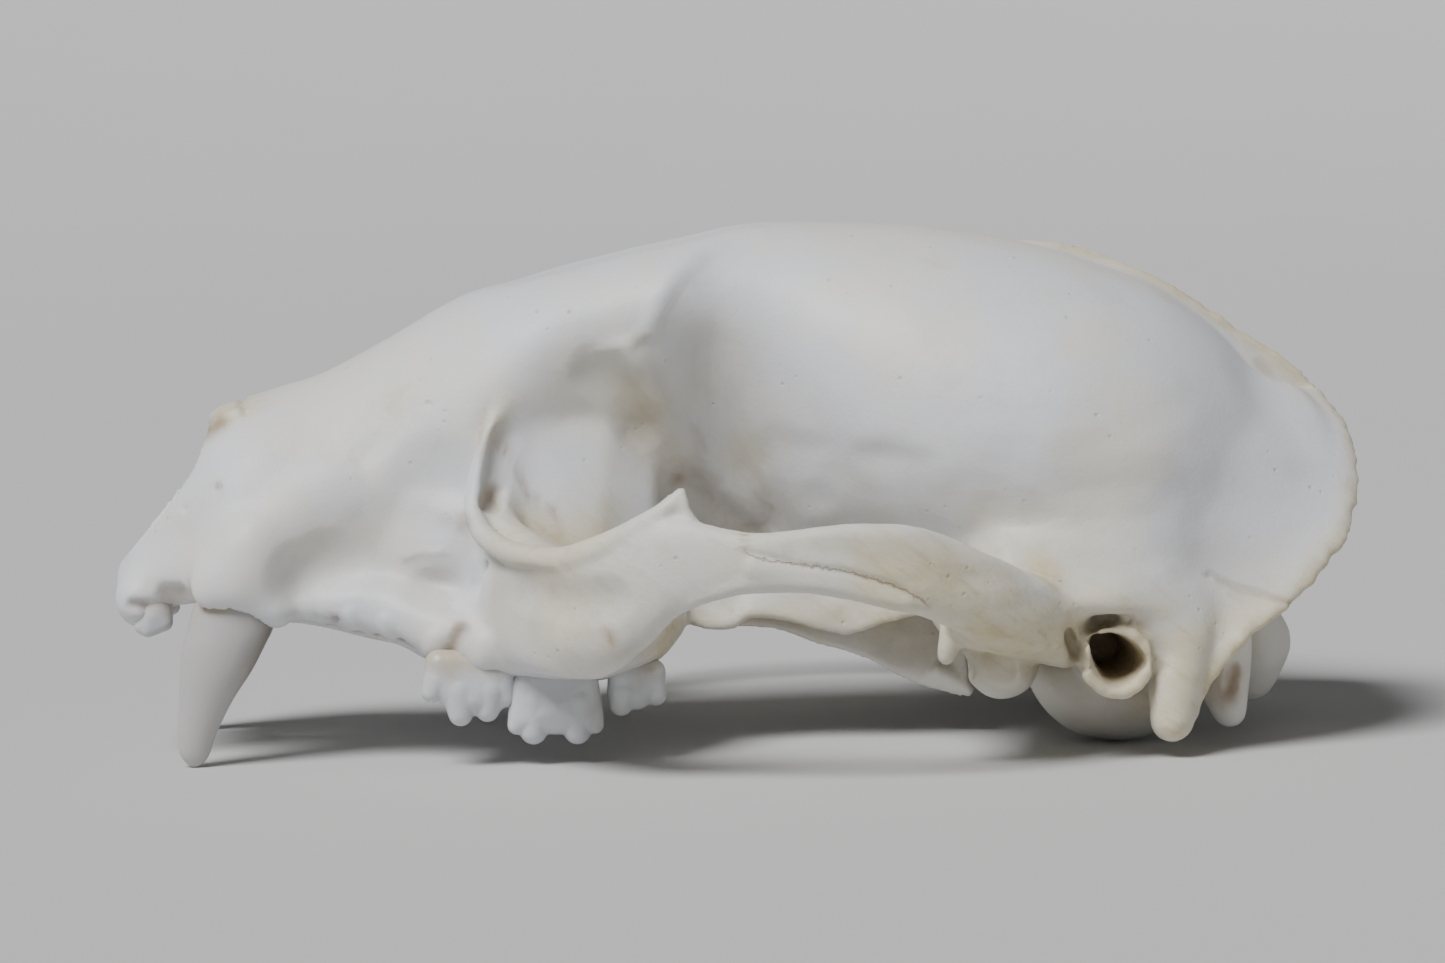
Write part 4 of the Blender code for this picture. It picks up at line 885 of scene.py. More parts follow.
# Ridges, hollows and pits: a path, its radius, its height and the band of y that it may touch.
# A path of x and z pairs is pressed in from the side, and one of x, y, z places from all round.
sideMarks = [
    # brow and temple
    ([(50.6, 39.2), (51.3, 41.8), (52.7, 43.9), (54.2, 45.4), (56.1, 46.8), (58.2, 47.7), (61, 48.3)],
     1.7, 0.34, (4, 20)),
    ([(52.9, 39.0), (53.6, 41.5), (55.0, 43.4), (57.0, 45.0), (60.0, 46.4)], 2.6, -0.12, (4, 20)),
    ([(49.2, 37.0), (50.6, 33.1), (53.6, 28.9), (56.8, 24.1), (60.0, 21.3)], 1.8, 0.45, (0, 20)),
    ([(45.5, 35.6), (48.3, 33.6), (49.6, 30.4)], 3.0, -0.8, (0, 16)),
    ([(55.4, 35.5), (56.4, 31.0), (57.6, 26.5)], 5.0, -0.5, (0, 20)),
    ([(54.4, 24.8), (56.6, 22.8), (60.0, 20.6)], 2.8, -0.6, (0, 14)),
    # face
    ([(9.5, 16.2), (12.5, 18.4), (16.0, 21.4), (20.5, 25.6)], 4.4, 0.75, (5, 20)),
    ([(17.9, 17.4), (20.7, 18.4)], 3.8, -0.9, (5, 20)),
    ([(25.0, 20.0), (28.6, 23.2), (30.6, 26.4)], 4.6, -0.7, (5, 20)),
    ([(23.9, 28.0), (25.6, 29.6), (26.6, 31.6)], 1.5, -0.16, (5, 20)),
    ([(27.4, 18.8), (29.0, 19.4), (30.8, 19.5)], 0.5, 0.14, (5, 20)),
    ([(10.6, 25.6)], 0.5, -0.4, (5, 20)), ([(7.3, 23.5)], 0.45, -0.3, (5, 20)),
    ([(21.0, 13.3)], 0.5, -0.5, (5, 20)), ([(30.1, 32.9)], 0.4, -0.3, (5, 20)),
    ([(18.6, 13.0), (18.4, 15.0)], 1.0, 0.22, (5, 20)),
    ([(22.6, 12.0), (22.4, 14.0)], 1.0, 0.25, (5, 20)),
    ([(25.8, 11.4), (25.6, 13.4)], 1.0, 0.25, (5, 20)),
    ([(32.6, 12.6), (31.9, 11.6), (31.4, 10.2)], 1.0, -0.5, (14, 24)),
    ([(34.6, 11.6), (34.2, 9.4)], 1.6, 0.4, (14, 24)),
    ([(30.0, 11.8), (29.6, 10.4)], 1.2, 0.3, (12, 22)),
    ([(4.0, 19.4), (6.4, 21.2)], 2.4, -0.3, (3, 12)), ([(2.2, 14.6), (3.4, 14.4)], 0.9, -0.5, (3, 12)),
    ([(5.4, 15.8), (7.0, 16.0)], 1.2, -0.5, (3, 12)),
    # the tear pit and the groove above it
    ([(35.7, 24.2), (35.9, 24.7)], 1.4, -1.3, (11, 24)),
    ([(36.2, 26.0), (36.9, 29.6)], 1.8, -0.4, (11, 20)),
    # cheek and arch
    ([(38.8, 16.9), (42.0, 16.4), (45.4, 16.6)], 2.7, -0.8, (22, 40)),
    ([(42.0, 12.6), (45.4, 12.4)], 2.8, 0.5, (22, 40)),
    ([(46.4, 9.6), (48.4, 11.4), (50.6, 14.2), (53.4, 16.6), (57, 17.9), (63, 17.8), (69, 16.4),
      (73, 15.7)], 1.0, 0.24, (26, 40)),
    ([(57.6, 20.9), (62.1, 19.7), (66.2, 19.0), (70.3, 17.6), (73.6, 15.6)], 0.5, -0.24, (26, 40)),
    ([(58.0, 19.4), (62.4, 18.3), (67.0, 17.4), (71.5, 16.1)], 1.3, 0.3, (26, 40)),
    ([(62.0, 21.2), (68.0, 20.8), (73.0, 19.0)], 1.8, -0.2, (26, 40)),
    # braincase
    ([(62.5, 28.0), (66.5, 26.2)], 3.0, -0.22, (8, 30)),
    ([(70.5, 27.0), (74.5, 26.2)], 2.6, -0.22, (8, 30)),
    ([(77.5, 24.0), (80.0, 23.0)], 3.4, -0.25, (8, 30)), ([(66.0, 23.2)], 2.6, -0.2, (8, 30)),
    ([(64.0, 15.0), (70.0, 19.0)], 5.0, -0.5, (10, 26)),
    ([(100.6, 16.2), (103.3, 14.9), (105.7, 14.3), (108.8, 13.0)], 0.5, -0.25, (10, 30)),
    ([(102.7, 5.6), (102.9, 7.4)], 1.0, -0.5, (10, 30)),
]
backMarks = [
    ([(112, 7, 22), (110, 12, 16)], 5.5, -1.4), ([(98, 4.5, 8.8), (104, 4.0, 8.8)], 3.0, -0.6),
    ([(40, 0, 44.8), (54, 0, 47.4)], 7.0, -0.7), ([(111, 0, 20), (113.5, 0, 27)], 1.8, 0.7),
    ([(88, 0, 9.6), (99, 0, 8.6)], 1.6, 0.35),
    ([(12.6, 0, 33.0), (12.8, 3.0, 32.8), (13.2, 5.0, 32.0)], 0.7, -0.35),
]
# Uneven growth: wavelengths in mm along x, y and z, height, and the part that it covers
swells = {
    "all": ((9.0, 9.0, 9.0), 0.15), "scars": ((5.0, 5.0, 2.4), 0.21), "edges": ((1.5, 1.5, 1.5), 0.30),
    "waves": ((4.4, 4.4, 4.4), 0.34), "lip": ((1.3, 1.3, 1.3), 0.26), "dents": ((4.2, 4.2, 4.2), 0.05),
    "grain": ((2.6, 0.9, 0.9), 0.045),
}
# Where they show: soft edges along x, y or z, and how far they reach from the crests and the ear hole
swellPlaces = {
    "scarFront": (60, 68), "scarRear": (96, 104), "scarTop": (28, 34),
    "edgeReach": 2.2, "ridgeReach": 1.6, "ridgeShare": 0.5,
    "grainOut": (20, 26), "grainFront": (60, 72),
    "lipRadius": 3.2, "lipWidth": 1.2, "lipOut": (24.5, 26.5),
}


def press(skin, marks, backs):
    places, normals = readMesh(skin)
    spots = fromFrame(places)
    outward = np.clip(normals[:, 1] * np.sign(places[:, 1]) * 2.0, 0.0, 1.0)
    moved = np.zeros(len(places))
    for path, radius, height, (low, high) in marks:
        near = distanceTo(path, spots[:, [0, 2]])
        inBand = (spots[:, 1] > low) & (spots[:, 1] < high)
        moved += np.clip(1 - (near / radius) ** 2, 0, 1) ** 2 * height * outward * inBand
    for path, radius, height in backs:
        near = distanceTo(path, spots)
        moved += np.clip(1 - (near / radius) ** 2, 0, 1) ** 2 * height
    writePlaces(skin, places + normals * (moved * mm)[:, None])


def unevenness(skin):
    places, normals = readMesh(skin)
    spots = fromFrame(places)
    signed = places / mm
    x, y, z = spots.T
    where = swellPlaces
    holeX, holeZ = earShape["hole"]
    edge = np.clip(1 - distanceTo(crestShape["tips"], spots) / where["edgeReach"], 0, 1)
    ridge = np.clip(1 - distanceTo(crestShape["ridge"], spots) / where["ridgeReach"], 0, 1)
    fromRing = (np.hypot(x - holeX, z - holeZ) - where["lipRadius"]) / where["lipWidth"]
    covers = {
        "all": np.ones(len(x)),
        "scars": smoothStep(*where["scarFront"], x) * (1 - smoothStep(*where["scarRear"], x))
        * (1 - smoothStep(*where["scarTop"], z)),
        "edges": edge + where["ridgeShare"] * ridge,
        "grain": smoothStep(*where["grainOut"], y) * smoothStep(*where["grainFront"], x),
        "lip": np.exp(-fromRing ** 2) * smoothStep(*where["lipOut"], y),
    }
    covers["waves"], covers["dents"] = covers["edges"], covers["all"]
    moved = np.zeros(len(x))
    for label, (waves, height) in swells.items():
        chosen = np.nonzero(covers[label] > 0.01)[0]
        scaled = signed[chosen] / np.array(waves)
        values = np.array([noise.noise(Vector(p)) for p in scaled])
        moved[chosen] += values * height * covers[label][chosen]
    writePlaces(skin, places + normals * (moved * mm)[:, None])


def soften(thing, path, radius, iterations):
    # smooths only what lies near a path
    places, normals = readMesh(thing)
    near = distanceTo(path, fromFrame(places))
    weights = np.clip(1.5 - 1.5 * near / radius, 0, 1)
    group = thing.vertex_groups.new(name="soft")
    for index in np.nonzero(weights > 0.02)[0].tolist():
        group.add([index], float(weights[index]), "REPLACE")
    soft = thing.modifiers.new("soft", "SMOOTH")
    soft.vertex_group = group.name
    soft.iterations = iterations
    bake(thing)
    thing.vertex_groups.clear()


def decimate(thing, triangles):
    thing.data.calc_loop_triangles()
    thin = thing.modifiers.new("thin", "DECIMATE")
    thin.ratio = min(1.0, triangles / len(thing.data.loop_triangles))
    thin.use_collapse_triangulate = True
    bake(thing)


toneMap = {
    # a path of x and z, the band of y, the radius and the strength
    "stains": [([(33.3, 22.8), (33.0, 21.6)], (12, 24), 0.5, 0.35),
               ([(45.2, 13.9), (45.8, 13.0)], (24, 40), 0.45, 0.5),
               ([(32.6, 12.8), (31.9, 11.6), (31.4, 10.2)], (12, 24), 0.8, 0.5),
               ([(35.6, 24.2), (35.7, 24.7)], (8, 24), 0.7, 0.2),
               ([(9.2, 30.2), (10.8, 31.2)], (0, 14), 0.7, 0.6),
               # the next two brown marks, in the hollows above the front teeth, are painted shade of
               # those hollows
               ([(2.4, 14.7), (3.4, 14.4)], (3, 12), 0.6, 0.5),
               ([(5.6, 15.4), (6.8, 15.8)], (3, 12), 0.6, 0.4), ([(10.6, 25.6)], (5, 20), 0.5, 0.3),
               ([(21.0, 13.3)], (5, 20), 0.6, 0.35), ([(77.2, 44.8)], (0, 16), 0.5, 0.25),
               ([(49.0, 38.4), (50.2, 38.9)], (8, 18), 0.5, 0.35),
               ([(102.6, 4.8), (102.9, 7.0)], (10, 30), 1.0, 0.6),
               ([(53.1, 25.0)], (4, 14), 0.7, 0.6), ([(27.4, 18.8), (29.4, 19.5)], (8, 20), 0.4, 0.2),
               ([(36.4, 29.2), (37.5, 28.3), (38.2, 26.1), (39.2, 24), (41.3, 23.1), (41.4, 20.8)],
                (7, 16), 0.34, 0.5),
               ([(35.3, 33.2), (34.9, 30.6), (34.6, 28.3)], (8, 20), 0.28, 0.22),
               ([(57.3, 22.4), (57.5, 21.8), (57.2, 21.2)], (26, 40), 0.25, 0.7),
               ([(101.3, 15.7), (103.3, 14.6), (105.7, 14.1), (108.5, 13.2)], (10, 30), 0.3, 0.35),
               ([(109.0, 34.0), (110.0, 33.0)], (0, 6), 0.5, 0.4)],
    # painted shade of deep places and undersides, in an olive that also stands for some stain there
    "paintedShades": [([(35.6, 24.0), (35.7, 25.0)], (8, 24), 1.1, 0.45),
               ([(36.0, 26.4), (36.6, 29.6)], (8, 24), 1.1, 0.1),
               ([(31.0, 22.3), (32.8, 22.2)], (10, 24), 0.7, 0.35),
               ([(49.6, 34.0), (50.2, 30.2)], (0, 14), 2.4, 0.6),
               ([(56.4, 24.0), (57.6, 22.0), (58.4, 19.4)], (0, 14), 2.6, 0.22),
               ([(56.6, 35.0), (58.6, 31.4), (61.0, 28.6)], (0, 18), 4.0, 0.3),
               ([(61.0, 23.0), (66.0, 20.5)], (0, 20), 3.0, 0.4),
               ([(46.0, 19.6), (50.0, 18.6)], (0, 16), 2.4, 0.25),
               ([(87.0, 11.8), (93.4, 12.2)], (22, 32), 1.0, 0.6),
               ([(87.0, 12.0), (87.2, 8.2)], (22, 32), 0.9, 0.6),
               ([(78.0, 9.6), (86.0, 8.6)], (18, 34), 2.2, 0.35),
               ([(92.0, 2.0), (94.0, 3.4)], (6, 20), 4.6, 0.42),
               ([(62.0, 11.6), (76.0, 8.4)], (4, 13), 3.2, 0.3),
               ([(36.4, 17.6), (40.5, 16.6), (45.6, 13.4)], (20, 40), 3.2, 0.42),
               ([(67.0, 24.6), (73.0, 24.0)], (8, 30), 3.2, 0.16),
               ([(82.0, 21.6), (88.0, 20.6)], (12, 30), 3.0, 0.25),
               ([(98.0, 19.0), (103.0, 17.6)], (12, 30), 2.6, 0.2)],
    "creams": [([(84.1, 18.1), (85.4, 17.0)], (14, 30), 1.6, 0.9),
               ([(69.0, 19.5), (74.0, 18.4), (80.0, 15.6)], (22, 40), 4.2, 0.85),
               ([(79.0, 12.2), (86.0, 11.6)], (16, 40), 4.0, 1.0),
               ([(96.5, 3.0), (97.5, 10.0)], (18, 34), 3.4, 0.85),
               ([(25.6, 31.6), (27.6, 33.6)], (4, 20), 1.6, 0.4),
               ([(35.4, 30.0), (36.6, 33.0)], (8, 20), 1.6, 0.5),
               ([(36.0, 22.0), (40.0, 20.4), (46.0, 22.4)], (10, 36), 2.2, 0.6),
               ([(88.0, 14.8), (96.0, 13.6)], (14, 34), 2.4, 0.55),
               ([(102.0, 12.0), (107.0, 13.0)], (12, 30), 3.4, 0.6),
               ([(50.8, 10.6), (51.6, 12.0)], (10, 20), 2.2, 0.9),
               ([(10.4, 32.0), (13.4, 33.2)], (0, 6), 1.8, 0.75),
               ([(37.0, 22.2), (41.0, 21.0), (45.0, 20.6)], (4, 18), 2.0, 0.8),
               ([(50.0, 31.6), (52.0, 27.0)], (0, 14), 3.0, 0.5),
               ([(59.4, 27.0)], (6, 16), 2.6, 0.5),
               ([(53.0, 11.8), (62.0, 12.4), (74.0, 12.0)], (6, 13), 2.0, 0.6)],
    # shade where the bone closes in: rays for each place, their reach, how far they start off the bone
    # and lean outwards, and how much less of it the open eye socket gets
    "rays": 14, "reach": 14.0, "lift": 0.15, "lean": 0.35, "seed": 3,
    "socketShare": (0.25, 0.5), "socketEdge": (12.0, 15.0),
    # cream on the arch, on the crests' edges and on the ring of the ear hole
    "archCream": 0.35, "archOut": (24, 29), "archRear": (84, 90), "archFront": (32, 40),
    "edgeCream": 0.95, "edgeReach": 2.6, "ridgeReach": 1.8, "ridgeFront": (78, 96), "edgePower": 0.7,
    "ringCream": 0.9, "ringRadius": 3.0, "ringWidth": 1.4, "ringOut": (24.5, 26.5),
    # inside the ear hole: its cream, its reach, and its brown stain, which grows with the depth as
    # painted shade
    "earCream": 0.9, "earRadius": 2.9, "earBand": (8, 27.2),
    "earStainAndShade": (0.2, 0.4), "earDepth": (26.5, 17.0),
}


def toneOf(strokes, spots):
    # the strongest of a list of soft strokes at each place
    tone = np.zeros(len(spots))
    for path, (low, high), radius, strength in strokes:
        near = distanceTo(path, spots[:, [0, 2]]) / radius
        y = spots[:, 1]
        inBand = smoothStep(low - 1, low + 1, y) * (1 - smoothStep(high - 1, high + 1, y))
        tone = np.maximum(tone, strength * np.exp(-near ** 2) * inBand)
    return tone


def paintTone(skin, shape):
    # red is cream bone, green is brown stain and, deep in the ear hole, painted shade, blue is painted
    # shade of deep places and undersides, with some olive stain
    places, normals = readMesh(skin)
    spots = fromFrame(places)
    x, y, z = spots.T
    arch = shape["archCream"] * smoothStep(*shape["archOut"], y)
    arch = arch * (1 - smoothStep(*shape["archRear"], x)) * smoothStep(*shape["archFront"], x)
    edge = np.clip(1 - distanceTo(crestShape["tips"], spots) / shape["edgeReach"], 0, 1)
    ridge = np.clip(1 - distanceTo(crestShape["ridge"], spots) / shape["ridgeReach"], 0, 1)
    edge = np.maximum(edge, ridge * smoothStep(*shape["ridgeFront"], x))
    holeX, holeZ = earShape["hole"]
    fromHole = np.hypot(x - holeX, z - holeZ)
    insideEar = (fromHole < shape["earRadius"]) & (y > shape["earBand"][0]) & (y < shape["earBand"][1])
    fromRing = (fromHole - shape["ringRadius"]) / shape["ringWidth"]
    ringBand = np.exp(-fromRing ** 2) * smoothStep(*shape["ringOut"], y)
    cream = np.max([toneOf(shape["creams"], spots), arch, edge ** shape["edgePower"] * shape["edgeCream"],
                    shape["ringCream"] * ringBand, shape["earCream"] * insideEar], axis=0)
    # brown stain in the ear hole, growing darker with the depth as painted shade
    least, more = shape["earStainAndShade"]
    earStainAndShade = insideEar * (least + more * smoothStep(*shape["earDepth"], y))
    stain = np.maximum(toneOf(shape["stains"], spots), earStainAndShade)
    # painted shade where rays from the bone soon meet bone again, with less of it in the eye socket
    closed = 1 - openness(skin, places, normals, shape)
    inSocket = distanceTo([hollowShape["eye"][0]], spots)
    least, more = shape["socketShare"]
    closed *= least + more * smoothStep(*shape["socketEdge"], inSocket)
    shade = np.clip(closed + toneOf(shape["paintedShades"], spots), 0, 1) * (1 - insideEar)
    colours = np.column_stack([cream, stain, shade, np.ones(len(x))])
    layer = skin.data.attributes.new("boneTone", "FLOAT_COLOR", "POINT")
    layer.data.foreach_set("color", colours.astype(np.float32).ravel())


def openness(skin, places, normals, shape):
    # the share of rays from each place that get away from the bone
    tree = BVHTree.FromPolygons([tuple(p) for p in places],
                                [tuple(face.vertices) for face in skin.data.polygons])
    turns = np.random.default_rng(shape["seed"])
    ways = turns.normal(size=(shape["rays"], 3))
    ways /= np.linalg.norm(ways, axis=1)[:, None]
    free = np.zeros(len(places))
    for way in ways:
        facing = normals @ way
        directions = np.where(facing[:, None] < 0, -way, way) + normals * shape["lean"]
        directions /= np.linalg.norm(directions, axis=1)[:, None]
        starts = places + normals * shape["lift"] * mm
        pairs = zip(starts.tolist(), directions.tolist())
        escapes = [tree.ray_cast(start, direction, shape["reach"] * mm)[0] is None
                   for start, direction in pairs]
        free += np.array(escapes, float)
    return smoothStep(0.05, 0.95, free / shape["rays"])


def makeSkull(material):
    skin = mainMasses()
    print("skull: main masses", len(skin.data.vertices))
    crumbs = bpy.data.objects.new("crumbs", fineMasses(skin, material))
    group = newGroup("grains")
    group.objects.link(crumbs)
    voxelSkin(crumbs, crestShape["grainVoxel"], 1)
    combine(skin, "UNION", group)
    cutHollows(skin)
    print("skull: details and hollows", len(skin.data.vertices))
    voxelSkin(skin, skullShape["fineVoxel"], skullShape["fineSmoothing"])
    for path, radius, steps in fineBlends:
        soften(skin, path, radius, steps)
    press(skin, sideMarks, backMarks)
    unevenness(skin)
    keepLargest(skin)
    print("skull: fine skin", len(skin.data.vertices))
    decimate(skin, skullShape["triangles"])
    paintTone(skin, toneMap)
    dress(skin, material)
    print("skull: painted", len(skin.data.polygons))
    return skin


# Each tooth is the skin round its crown, a few balls of x, y, z and radius, and each of its cusps
teethShape = {
    "voxel": 0.14, "smoothing": 4, "triangles": 9000,
    "premolar4": {
        "crown": [(30.6, 17.4, 9.4, 1.5), (36.0, 17.5, 9.0, 1.4), (30.8, 14.0, 9.4, 1.6),
                  (35.4, 14.0, 9.0, 1.6), (30.5, 17.6, 7.8, 1.4), (33.5, 18.0, 6.4, 1.45),
                  (32.3, 17.8, 6.1, 1.4),
                  (35.0, 17.7, 6.0, 1.4), (36.1, 17.6, 7.1, 1.3)],
        "cusps": [[(30.3, 17.7, 8.0, 1.4), (29.75, 18.0, 7.0, 1.0)],
                  [(32.3, 17.7, 7.0, 1.8), (32.3, 18.2, 4.95, 1.15)],
                  [(34.9, 17.7, 7.0, 1.7), (34.75, 18.1, 5.2, 1.1)],
                  [(35.9, 17.6, 7.2, 1.4), (36.3, 17.9, 6.3, 0.95)],
                  [(31.6, 14.4, 8.2, 2.0), (31.8, 13.9, 6.4, 1.2)],
                  [(35.0, 14.2, 8.2, 1.9), (35.0, 13.8, 6.5, 1.1)]],
    },
    "molar1": {
        "crown": [(38.6, 17.7, 7.4, 1.6), (43.4, 17.7, 7.2, 1.6), (41.0, 18.4, 5.4, 1.5),
                  (38.8, 13.6, 7.0, 1.6),
                  (43.5, 13.6, 6.8, 1.6), (38.1, 17.9, 4.4, 1.5), (43.8, 17.9, 4.25, 1.5),
                  (41.0, 18.0, 4.25, 1.5), (38.6, 13.6, 5.0, 1.4), (43.4, 13.6, 5.0, 1.4)],
        "cusps": [[(39.1, 17.8, 6.0, 1.9), (38.9, 18.1, 3.2, 1.3)],
                  [(42.9, 17.8, 5.8, 1.9), (42.9, 18.1, 3.1, 1.3)],
                  [(37.8, 18.0, 4.8, 1.2), (37.4, 18.2, 3.75, 0.9)],
                  [(44.2, 18.2, 4.6, 1.1), (44.5, 18.3, 3.6, 0.85)],
                  [(39.6, 14.4, 5.6, 2.0), (39.7, 14.2, 3.7, 1.2)],
                  [(43.2, 14.2, 5.6, 1.8), (43.3, 14.1, 4.0, 1.1)]],
    },
    "molar2": {
        "crown": [(47.3, 16.8, 7.6, 1.5), (49.9, 16.4, 8.0, 1.3), (47.6, 13.4, 7.4, 1.5),
                  (49.6, 13.6, 7.8, 1.3), (47.1, 16.8, 6.1, 1.4), (48.5, 16.8, 5.95, 1.3),
                  (50.0, 16.6, 6.6, 1.1)],
        "cusps": [[(47.3, 16.8, 6.5, 1.6), (47.0, 17.1, 5.3, 1.15)],
                  [(50.0, 16.5, 6.9, 1.2), (50.2, 16.8, 5.95, 1.0)],
                  [(47.8, 13.8, 6.8, 1.5), (48.0, 13.7, 5.8, 1.1)]],
    },
    "incisor3": {
        "crown": [(4.4, 5.7, 15.0, 1.5), (4.2, 6.0, 13.5, 1.6), (3.1, 6.3, 12.5, 0.9),
                  (3.5, 6.6, 12.15, 0.75), (5.0, 6.6, 12.8, 0.85)],
        "cusps": [[(4.9, 6.0, 15.6, 1.2), (4.9, 5.8, 17.0, 1.0)]],
    },
}


def makeCheekTeeth(material, frontMaterial):
    shape = teethShape
    made = []
    for sideName, side in namedSides:
        for name in ("premolar4", "molar1", "molar2", "incisor3"):
            group = newGroup("cusps")
            tooth = hull(f"{name}_{sideName}", shape[name]["crown"], bpy.context.scene.collection, side)
            for cusp in shape[name]["cusps"]:
                hull("cusp", cusp, group, side)
            combine(tooth, "UNION", group)
            voxelSkin(tooth, shape["voxel"], shape["smoothing"])
            decimate(tooth, shape["triangles"])
            dress(tooth, frontMaterial if name == "incisor3" else material)
            made.append(tooth)
    return made


def canineTree(material):
    # a closed cylinder whose rings are set by the tooth's own outline
    shape = canineShape
    tree, sheet = newTree("canine tooth", {"Height": 1.0, "Rings": 1, "Sides": 1, "Thickness": 1.0,
                                           "Side": 1.0})
    given = sheet.inputs
    rings = sheet.node("GeometryNodeMeshCylinder", {"fill_type": "TRIANGLE_FAN"}, {
        "Vertices": given["Sides"], "Side Segments": given["Rings"], "Radius": 1.0, "Depth": 1.0},
        "Mesh")
    outX, outY, outZ = sheet.parts(sheet.node("GeometryNodeInputPosition"))
    share = outZ + 0.5
    reach = 20.0  # millimetres at a curve's value of 1
    points = []
    for z, front, rear in shape["outline"]:
        halfDepth = (rear - front) / 2 if z > 0 else 0.0
        values = (halfDepth, (front + rear) / 2, along(shape["sideways"], z))
        points.append([(sqrt(z / shape["outline"][-1][0]), value / reach) for value in values])
    half, middle, out = (sheet.curve(share, list(row)) * (reach * mm) for row in zip(*points))
    x = middle - middleX * mm + outX * half
    y = (out + outY * half * given["Thickness"]) * given["Side"]
    place = sheet.node("ShaderNodeCombineXYZ", {}, {"X": x, "Y": y, "Z": share * share * given["Height"]})
    moved = sheet.node("GeometryNodeSetPosition", {}, {"Geometry": rings, "Position": place})
    welded = sheet.node("GeometryNodeMergeByDistance", {}, {"Geometry": moved, "Distance": 0.000002})
    endTree(tree, sheet, welded, material)
    return tree


def makeCanines(material):
    tree = canineTree(material)
    made = []
    for sideName, side in namedSides:
        tooth = objectFrom(f"canineTooth_{sideName}", bmesh.new(), bpy.context.scene.collection)
        addTree(tooth, tree, {"Height": canineShape["outline"][-1][0] * mm, "Rings": canineShape["rings"],
                              "Sides": canineShape["sides"], "Thickness": canineShape["thickness"],
                              "Side": side})
        bake(tooth)
        form = bmesh.new()
        form.from_mesh(tooth.data)
        bmesh.ops.recalc_face_normals(form, faces=form.faces)
        form.to_mesh(tooth.data)
        form.free()
        tooth.data.shade_smooth()
        made.append(tooth)
    return made


# Teeth
enamelLook = {
    "crown": (0.58, 0.592, 0.612), "neck": (0.50, 0.42, 0.28), "groove": (0.42, 0.35, 0.24),
    "ivory": (0.48, 0.466, 0.462), "canineRearShade": (0.24, 0.20, 0.155), "roughness": 0.24,
    # noise scales of the teeth and of the canines, and the heights where their necks begin
    "soft": 320.0, "fine": 1900.0, "bands": 2600.0, "canineSoft": 260.0, "ribs": 1700.0,
    "cheekNeck": 8.8, "frontNeck": 14.6, "canineNeck": (13.4, 15.2),
}


def enamelMaterial(look, neckHeight):
    made, sheet, place = newMaterial("enamel")
    z = sheet.parts(place)[2] * (1 / mm)
    soft = sheet.noise(place, look["soft"], 3.0, 0.55)
    fine = sheet.noise(place, look["fine"], 3.0, 0.6)
    bands = sheet.noise(place, look["bands"], 2.0, 0.5, (0.25, 0.25, 1.0))
    neck = (z + (soft - 0.5) * 3.0).step(neckHeight - 1.0, neckHeight + 1.6)
    base = sheet.mix(neck * 0.75, look["crown"], look["neck"])
    base = sheet.mix(soft.step(0.52, 0.75) * 0.25, base, look["groove"])
    sheet.surface({
        "Base Color": base, "Roughness": look["roughness"] + neck * 0.18 + 0.08 * (fine - 0.5),
        "Normal": sheet.bump(bands * 0.5 + fine * 0.3 + soft * 0.6, 0.35, 0.00008),
        "Subsurface Weight": 0.2, "Subsurface Radius": (1.0, 0.85, 0.7), "Subsurface Scale": 0.001,
        "IOR": 1.6})
    return made


def canineMaterial(look):
    made, sheet, place = newMaterial("canineEnamel")
    across, _, up = sheet.parts(place)
    x, z = across * (1 / mm) + middleX, up * (1 / mm)
    soft = sheet.noise(place, look["canineSoft"], 3.0, 0.55)
    fine = sheet.noise(place, look["fine"], 3.0, 0.6)
    ribs = sheet.noise(place, look["ribs"], 2.0, 0.5, (1.0, 1.0, 0.14))
    lean = x - 6.4 - z * 0.42  # how far behind the tooth's leaning front edge
    # painted shade: the canine darkens towards its rear edge
    rear = (lean + (soft - 0.5) * 2.0).step(0.6, 4.2) * z.step(3.0, 12.0)
    base = sheet.mix(rear * 0.88, look["ivory"], look["canineRearShade"])
    top = (z + (soft - 0.5) * 1.6).step(*look["canineNeck"])
    base = sheet.mix(top * 0.6, base, look["neck"])
    sheet.surface({
        "Base Color": base, "Roughness": look["roughness"] + 0.1 + 0.08 * (fine - 0.5),
        "Normal": sheet.bump(ribs * 0.7 + fine * 0.25 + soft * 0.6, 0.4, 0.0001),
        "Subsurface Weight": 0.22, "Subsurface Radius": (1.0, 0.8, 0.6), "Subsurface Scale": 0.0014,
        "IOR": 1.6})
    return made


# Floor, light and camera
studio = {
    "floorRadius": 2.2, "floorRise": 0.34, "floorSides": 128, "floorRings": 40,
    "floorColour": (0.56, 0.56, 0.557), "floorDarker": 0.97, "floorMottle": 9.0,
    "floorFlat": 0.4, "floorCurve": 2.5,  # the flat share of its radius, and how the rest sweeps up
    "surround": (0.82, 0.83, 0.85), "surroundStrength": 0.16,
    "sunPower": 4.0, "sunAngle": 28.0, "sunPlace": (-0.55, -0.52, 1.05),
    "azimuth": -3.5, "elevation": 5.0, "roll": 1.24, "distance": 0.450, "framePixels": 1445,
    "pixelsPerMm": 10.53, "aim": (57.77, 0.0, 23.96), "sensor": 36.0,
}


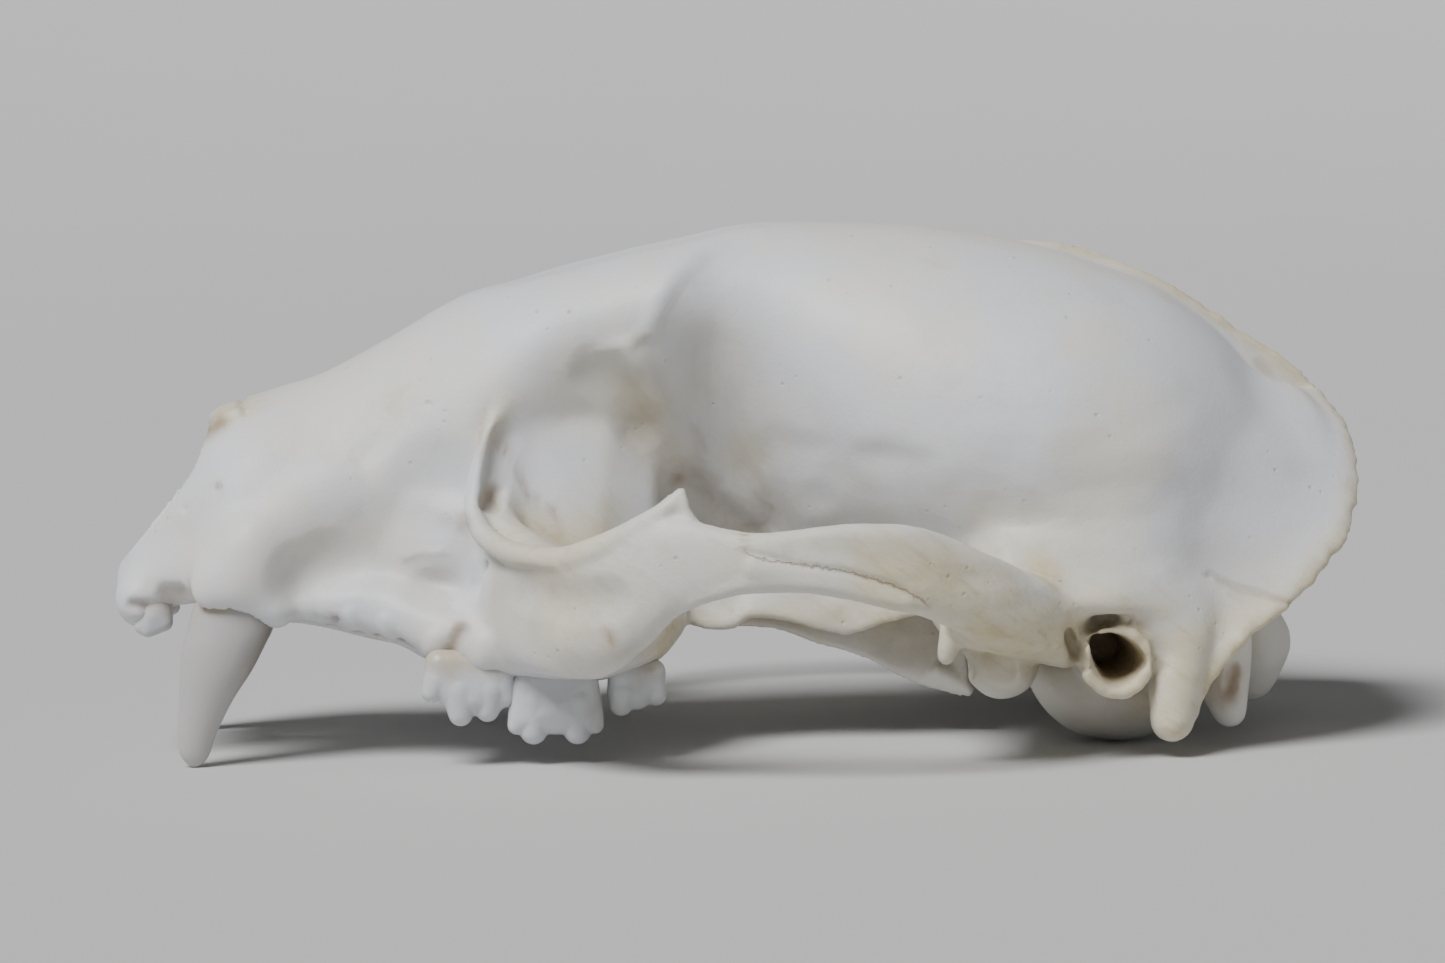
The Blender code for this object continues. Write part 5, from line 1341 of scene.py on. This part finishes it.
def makeFloor(look):
    # a flat disc whose far edge sweeps up, so that no horizon shows
    form = bmesh.new()
    count, flat = look["floorSides"], look["floorFlat"]
    ring = [Vector((cos(a), sin(a), 0.0)) for a in np.arange(count) * 2 * pi / count]
    rows = [[form.verts.new((0.0, 0.0, 0.0))] * count]
    for share in np.linspace(0.15, 1.0, look["floorRings"]):
        lift = look["floorRise"] * max(0.0, (share - flat) / (1 - flat)) ** look["floorCurve"]
        rise, reach = Vector((0, 0, lift)), share * look["floorRadius"]
        rows.append([form.verts.new(p * reach + rise) for p in ring])
    for row, following in zip(rows, rows[1:]):
        for k in range(count):
            n = (k + 1) % count
            corners = [row[k], following[k], following[n], row[n]]
            form.faces.new(corners[:3] if row[k] is row[n] else corners)
    floor = objectFrom("paleFloor", form, bpy.context.scene.collection)
    made, sheet, place = newMaterial("paleFloor")
    darker = tuple(c * look["floorDarker"] for c in look["floorColour"])
    colour = sheet.mix(sheet.noise(place, look["floorMottle"], 3.0, 0.5), look["floorColour"], darker)
    sheet.surface({"Base Color": colour, "Roughness": 0.85})
    dress(floor, made)


def makeLight(look):
    world = bpy.data.worlds.new("studio")
    world.use_nodes = True
    air = world.node_tree.nodes["Background"].inputs
    air["Color"].default_value = (*look["surround"], 1.0)
    air["Strength"].default_value = look["surroundStrength"]
    bpy.context.scene.world = world
    sun = bpy.data.lights.new("sun", "SUN")
    sun.energy = look["sunPower"]
    sun.angle = radians(look["sunAngle"])
    lit = bpy.data.objects.new("sun", sun)
    bpy.context.scene.collection.objects.link(lit)
    lit.location = look["sunPlace"]
    lit.rotation_euler = (-Vector(look["sunPlace"])).to_track_quat("-Z", "Y").to_euler()


def makeCamera(look):
    turn, rise = radians(look["azimuth"]), radians(look["elevation"])
    back = Vector((sin(turn) * cos(rise), -cos(turn) * cos(rise), sin(rise)))
    lens = bpy.data.cameras.new("camera")
    lens.sensor_width = look["sensor"]
    lens.lens = look["pixelsPerMm"] * look["distance"] / mm / look["framePixels"] * look["sensor"]
    lens.clip_start = 0.01
    lens.clip_end = 20.0
    camera = bpy.data.objects.new("camera", lens)
    bpy.context.scene.collection.objects.link(camera)
    aim = Vector(toFrame([look["aim"]])[0])
    facing = (-back).to_track_quat("-Z", "Y").to_matrix().to_4x4()
    roll = Matrix.Rotation(radians(-look["roll"]), 4, "Z")
    camera.matrix_world = Matrix.Translation(aim + back * look["distance"]) @ facing @ roll
    bpy.context.scene.camera = camera


bone = boneMaterial(boneLook)
skull = makeSkull(bone)
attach(skull, "root")
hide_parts("cranium", "rostrum", "zygomatic_arch_left", "zygomatic_arch_right",
            "auditory_bulla_left", "auditory_bulla_right")

cheekEnamel = enamelMaterial(enamelLook, enamelLook["cheekNeck"])
frontEnamel = enamelMaterial(enamelLook, enamelLook["frontNeck"])
for tooth in makeCheekTeeth(cheekEnamel, frontEnamel):
    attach(tooth, "root")
print("cheek teeth done")

for tooth, node in zip(makeCanines(canineMaterial(enamelLook)), ("canine_left", "canine_right")):
    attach(tooth, "root")
    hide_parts(node)
print("canines done")

makeFloor(studio)
makeLight(studio)
makeCamera(studio)
print("studio done")
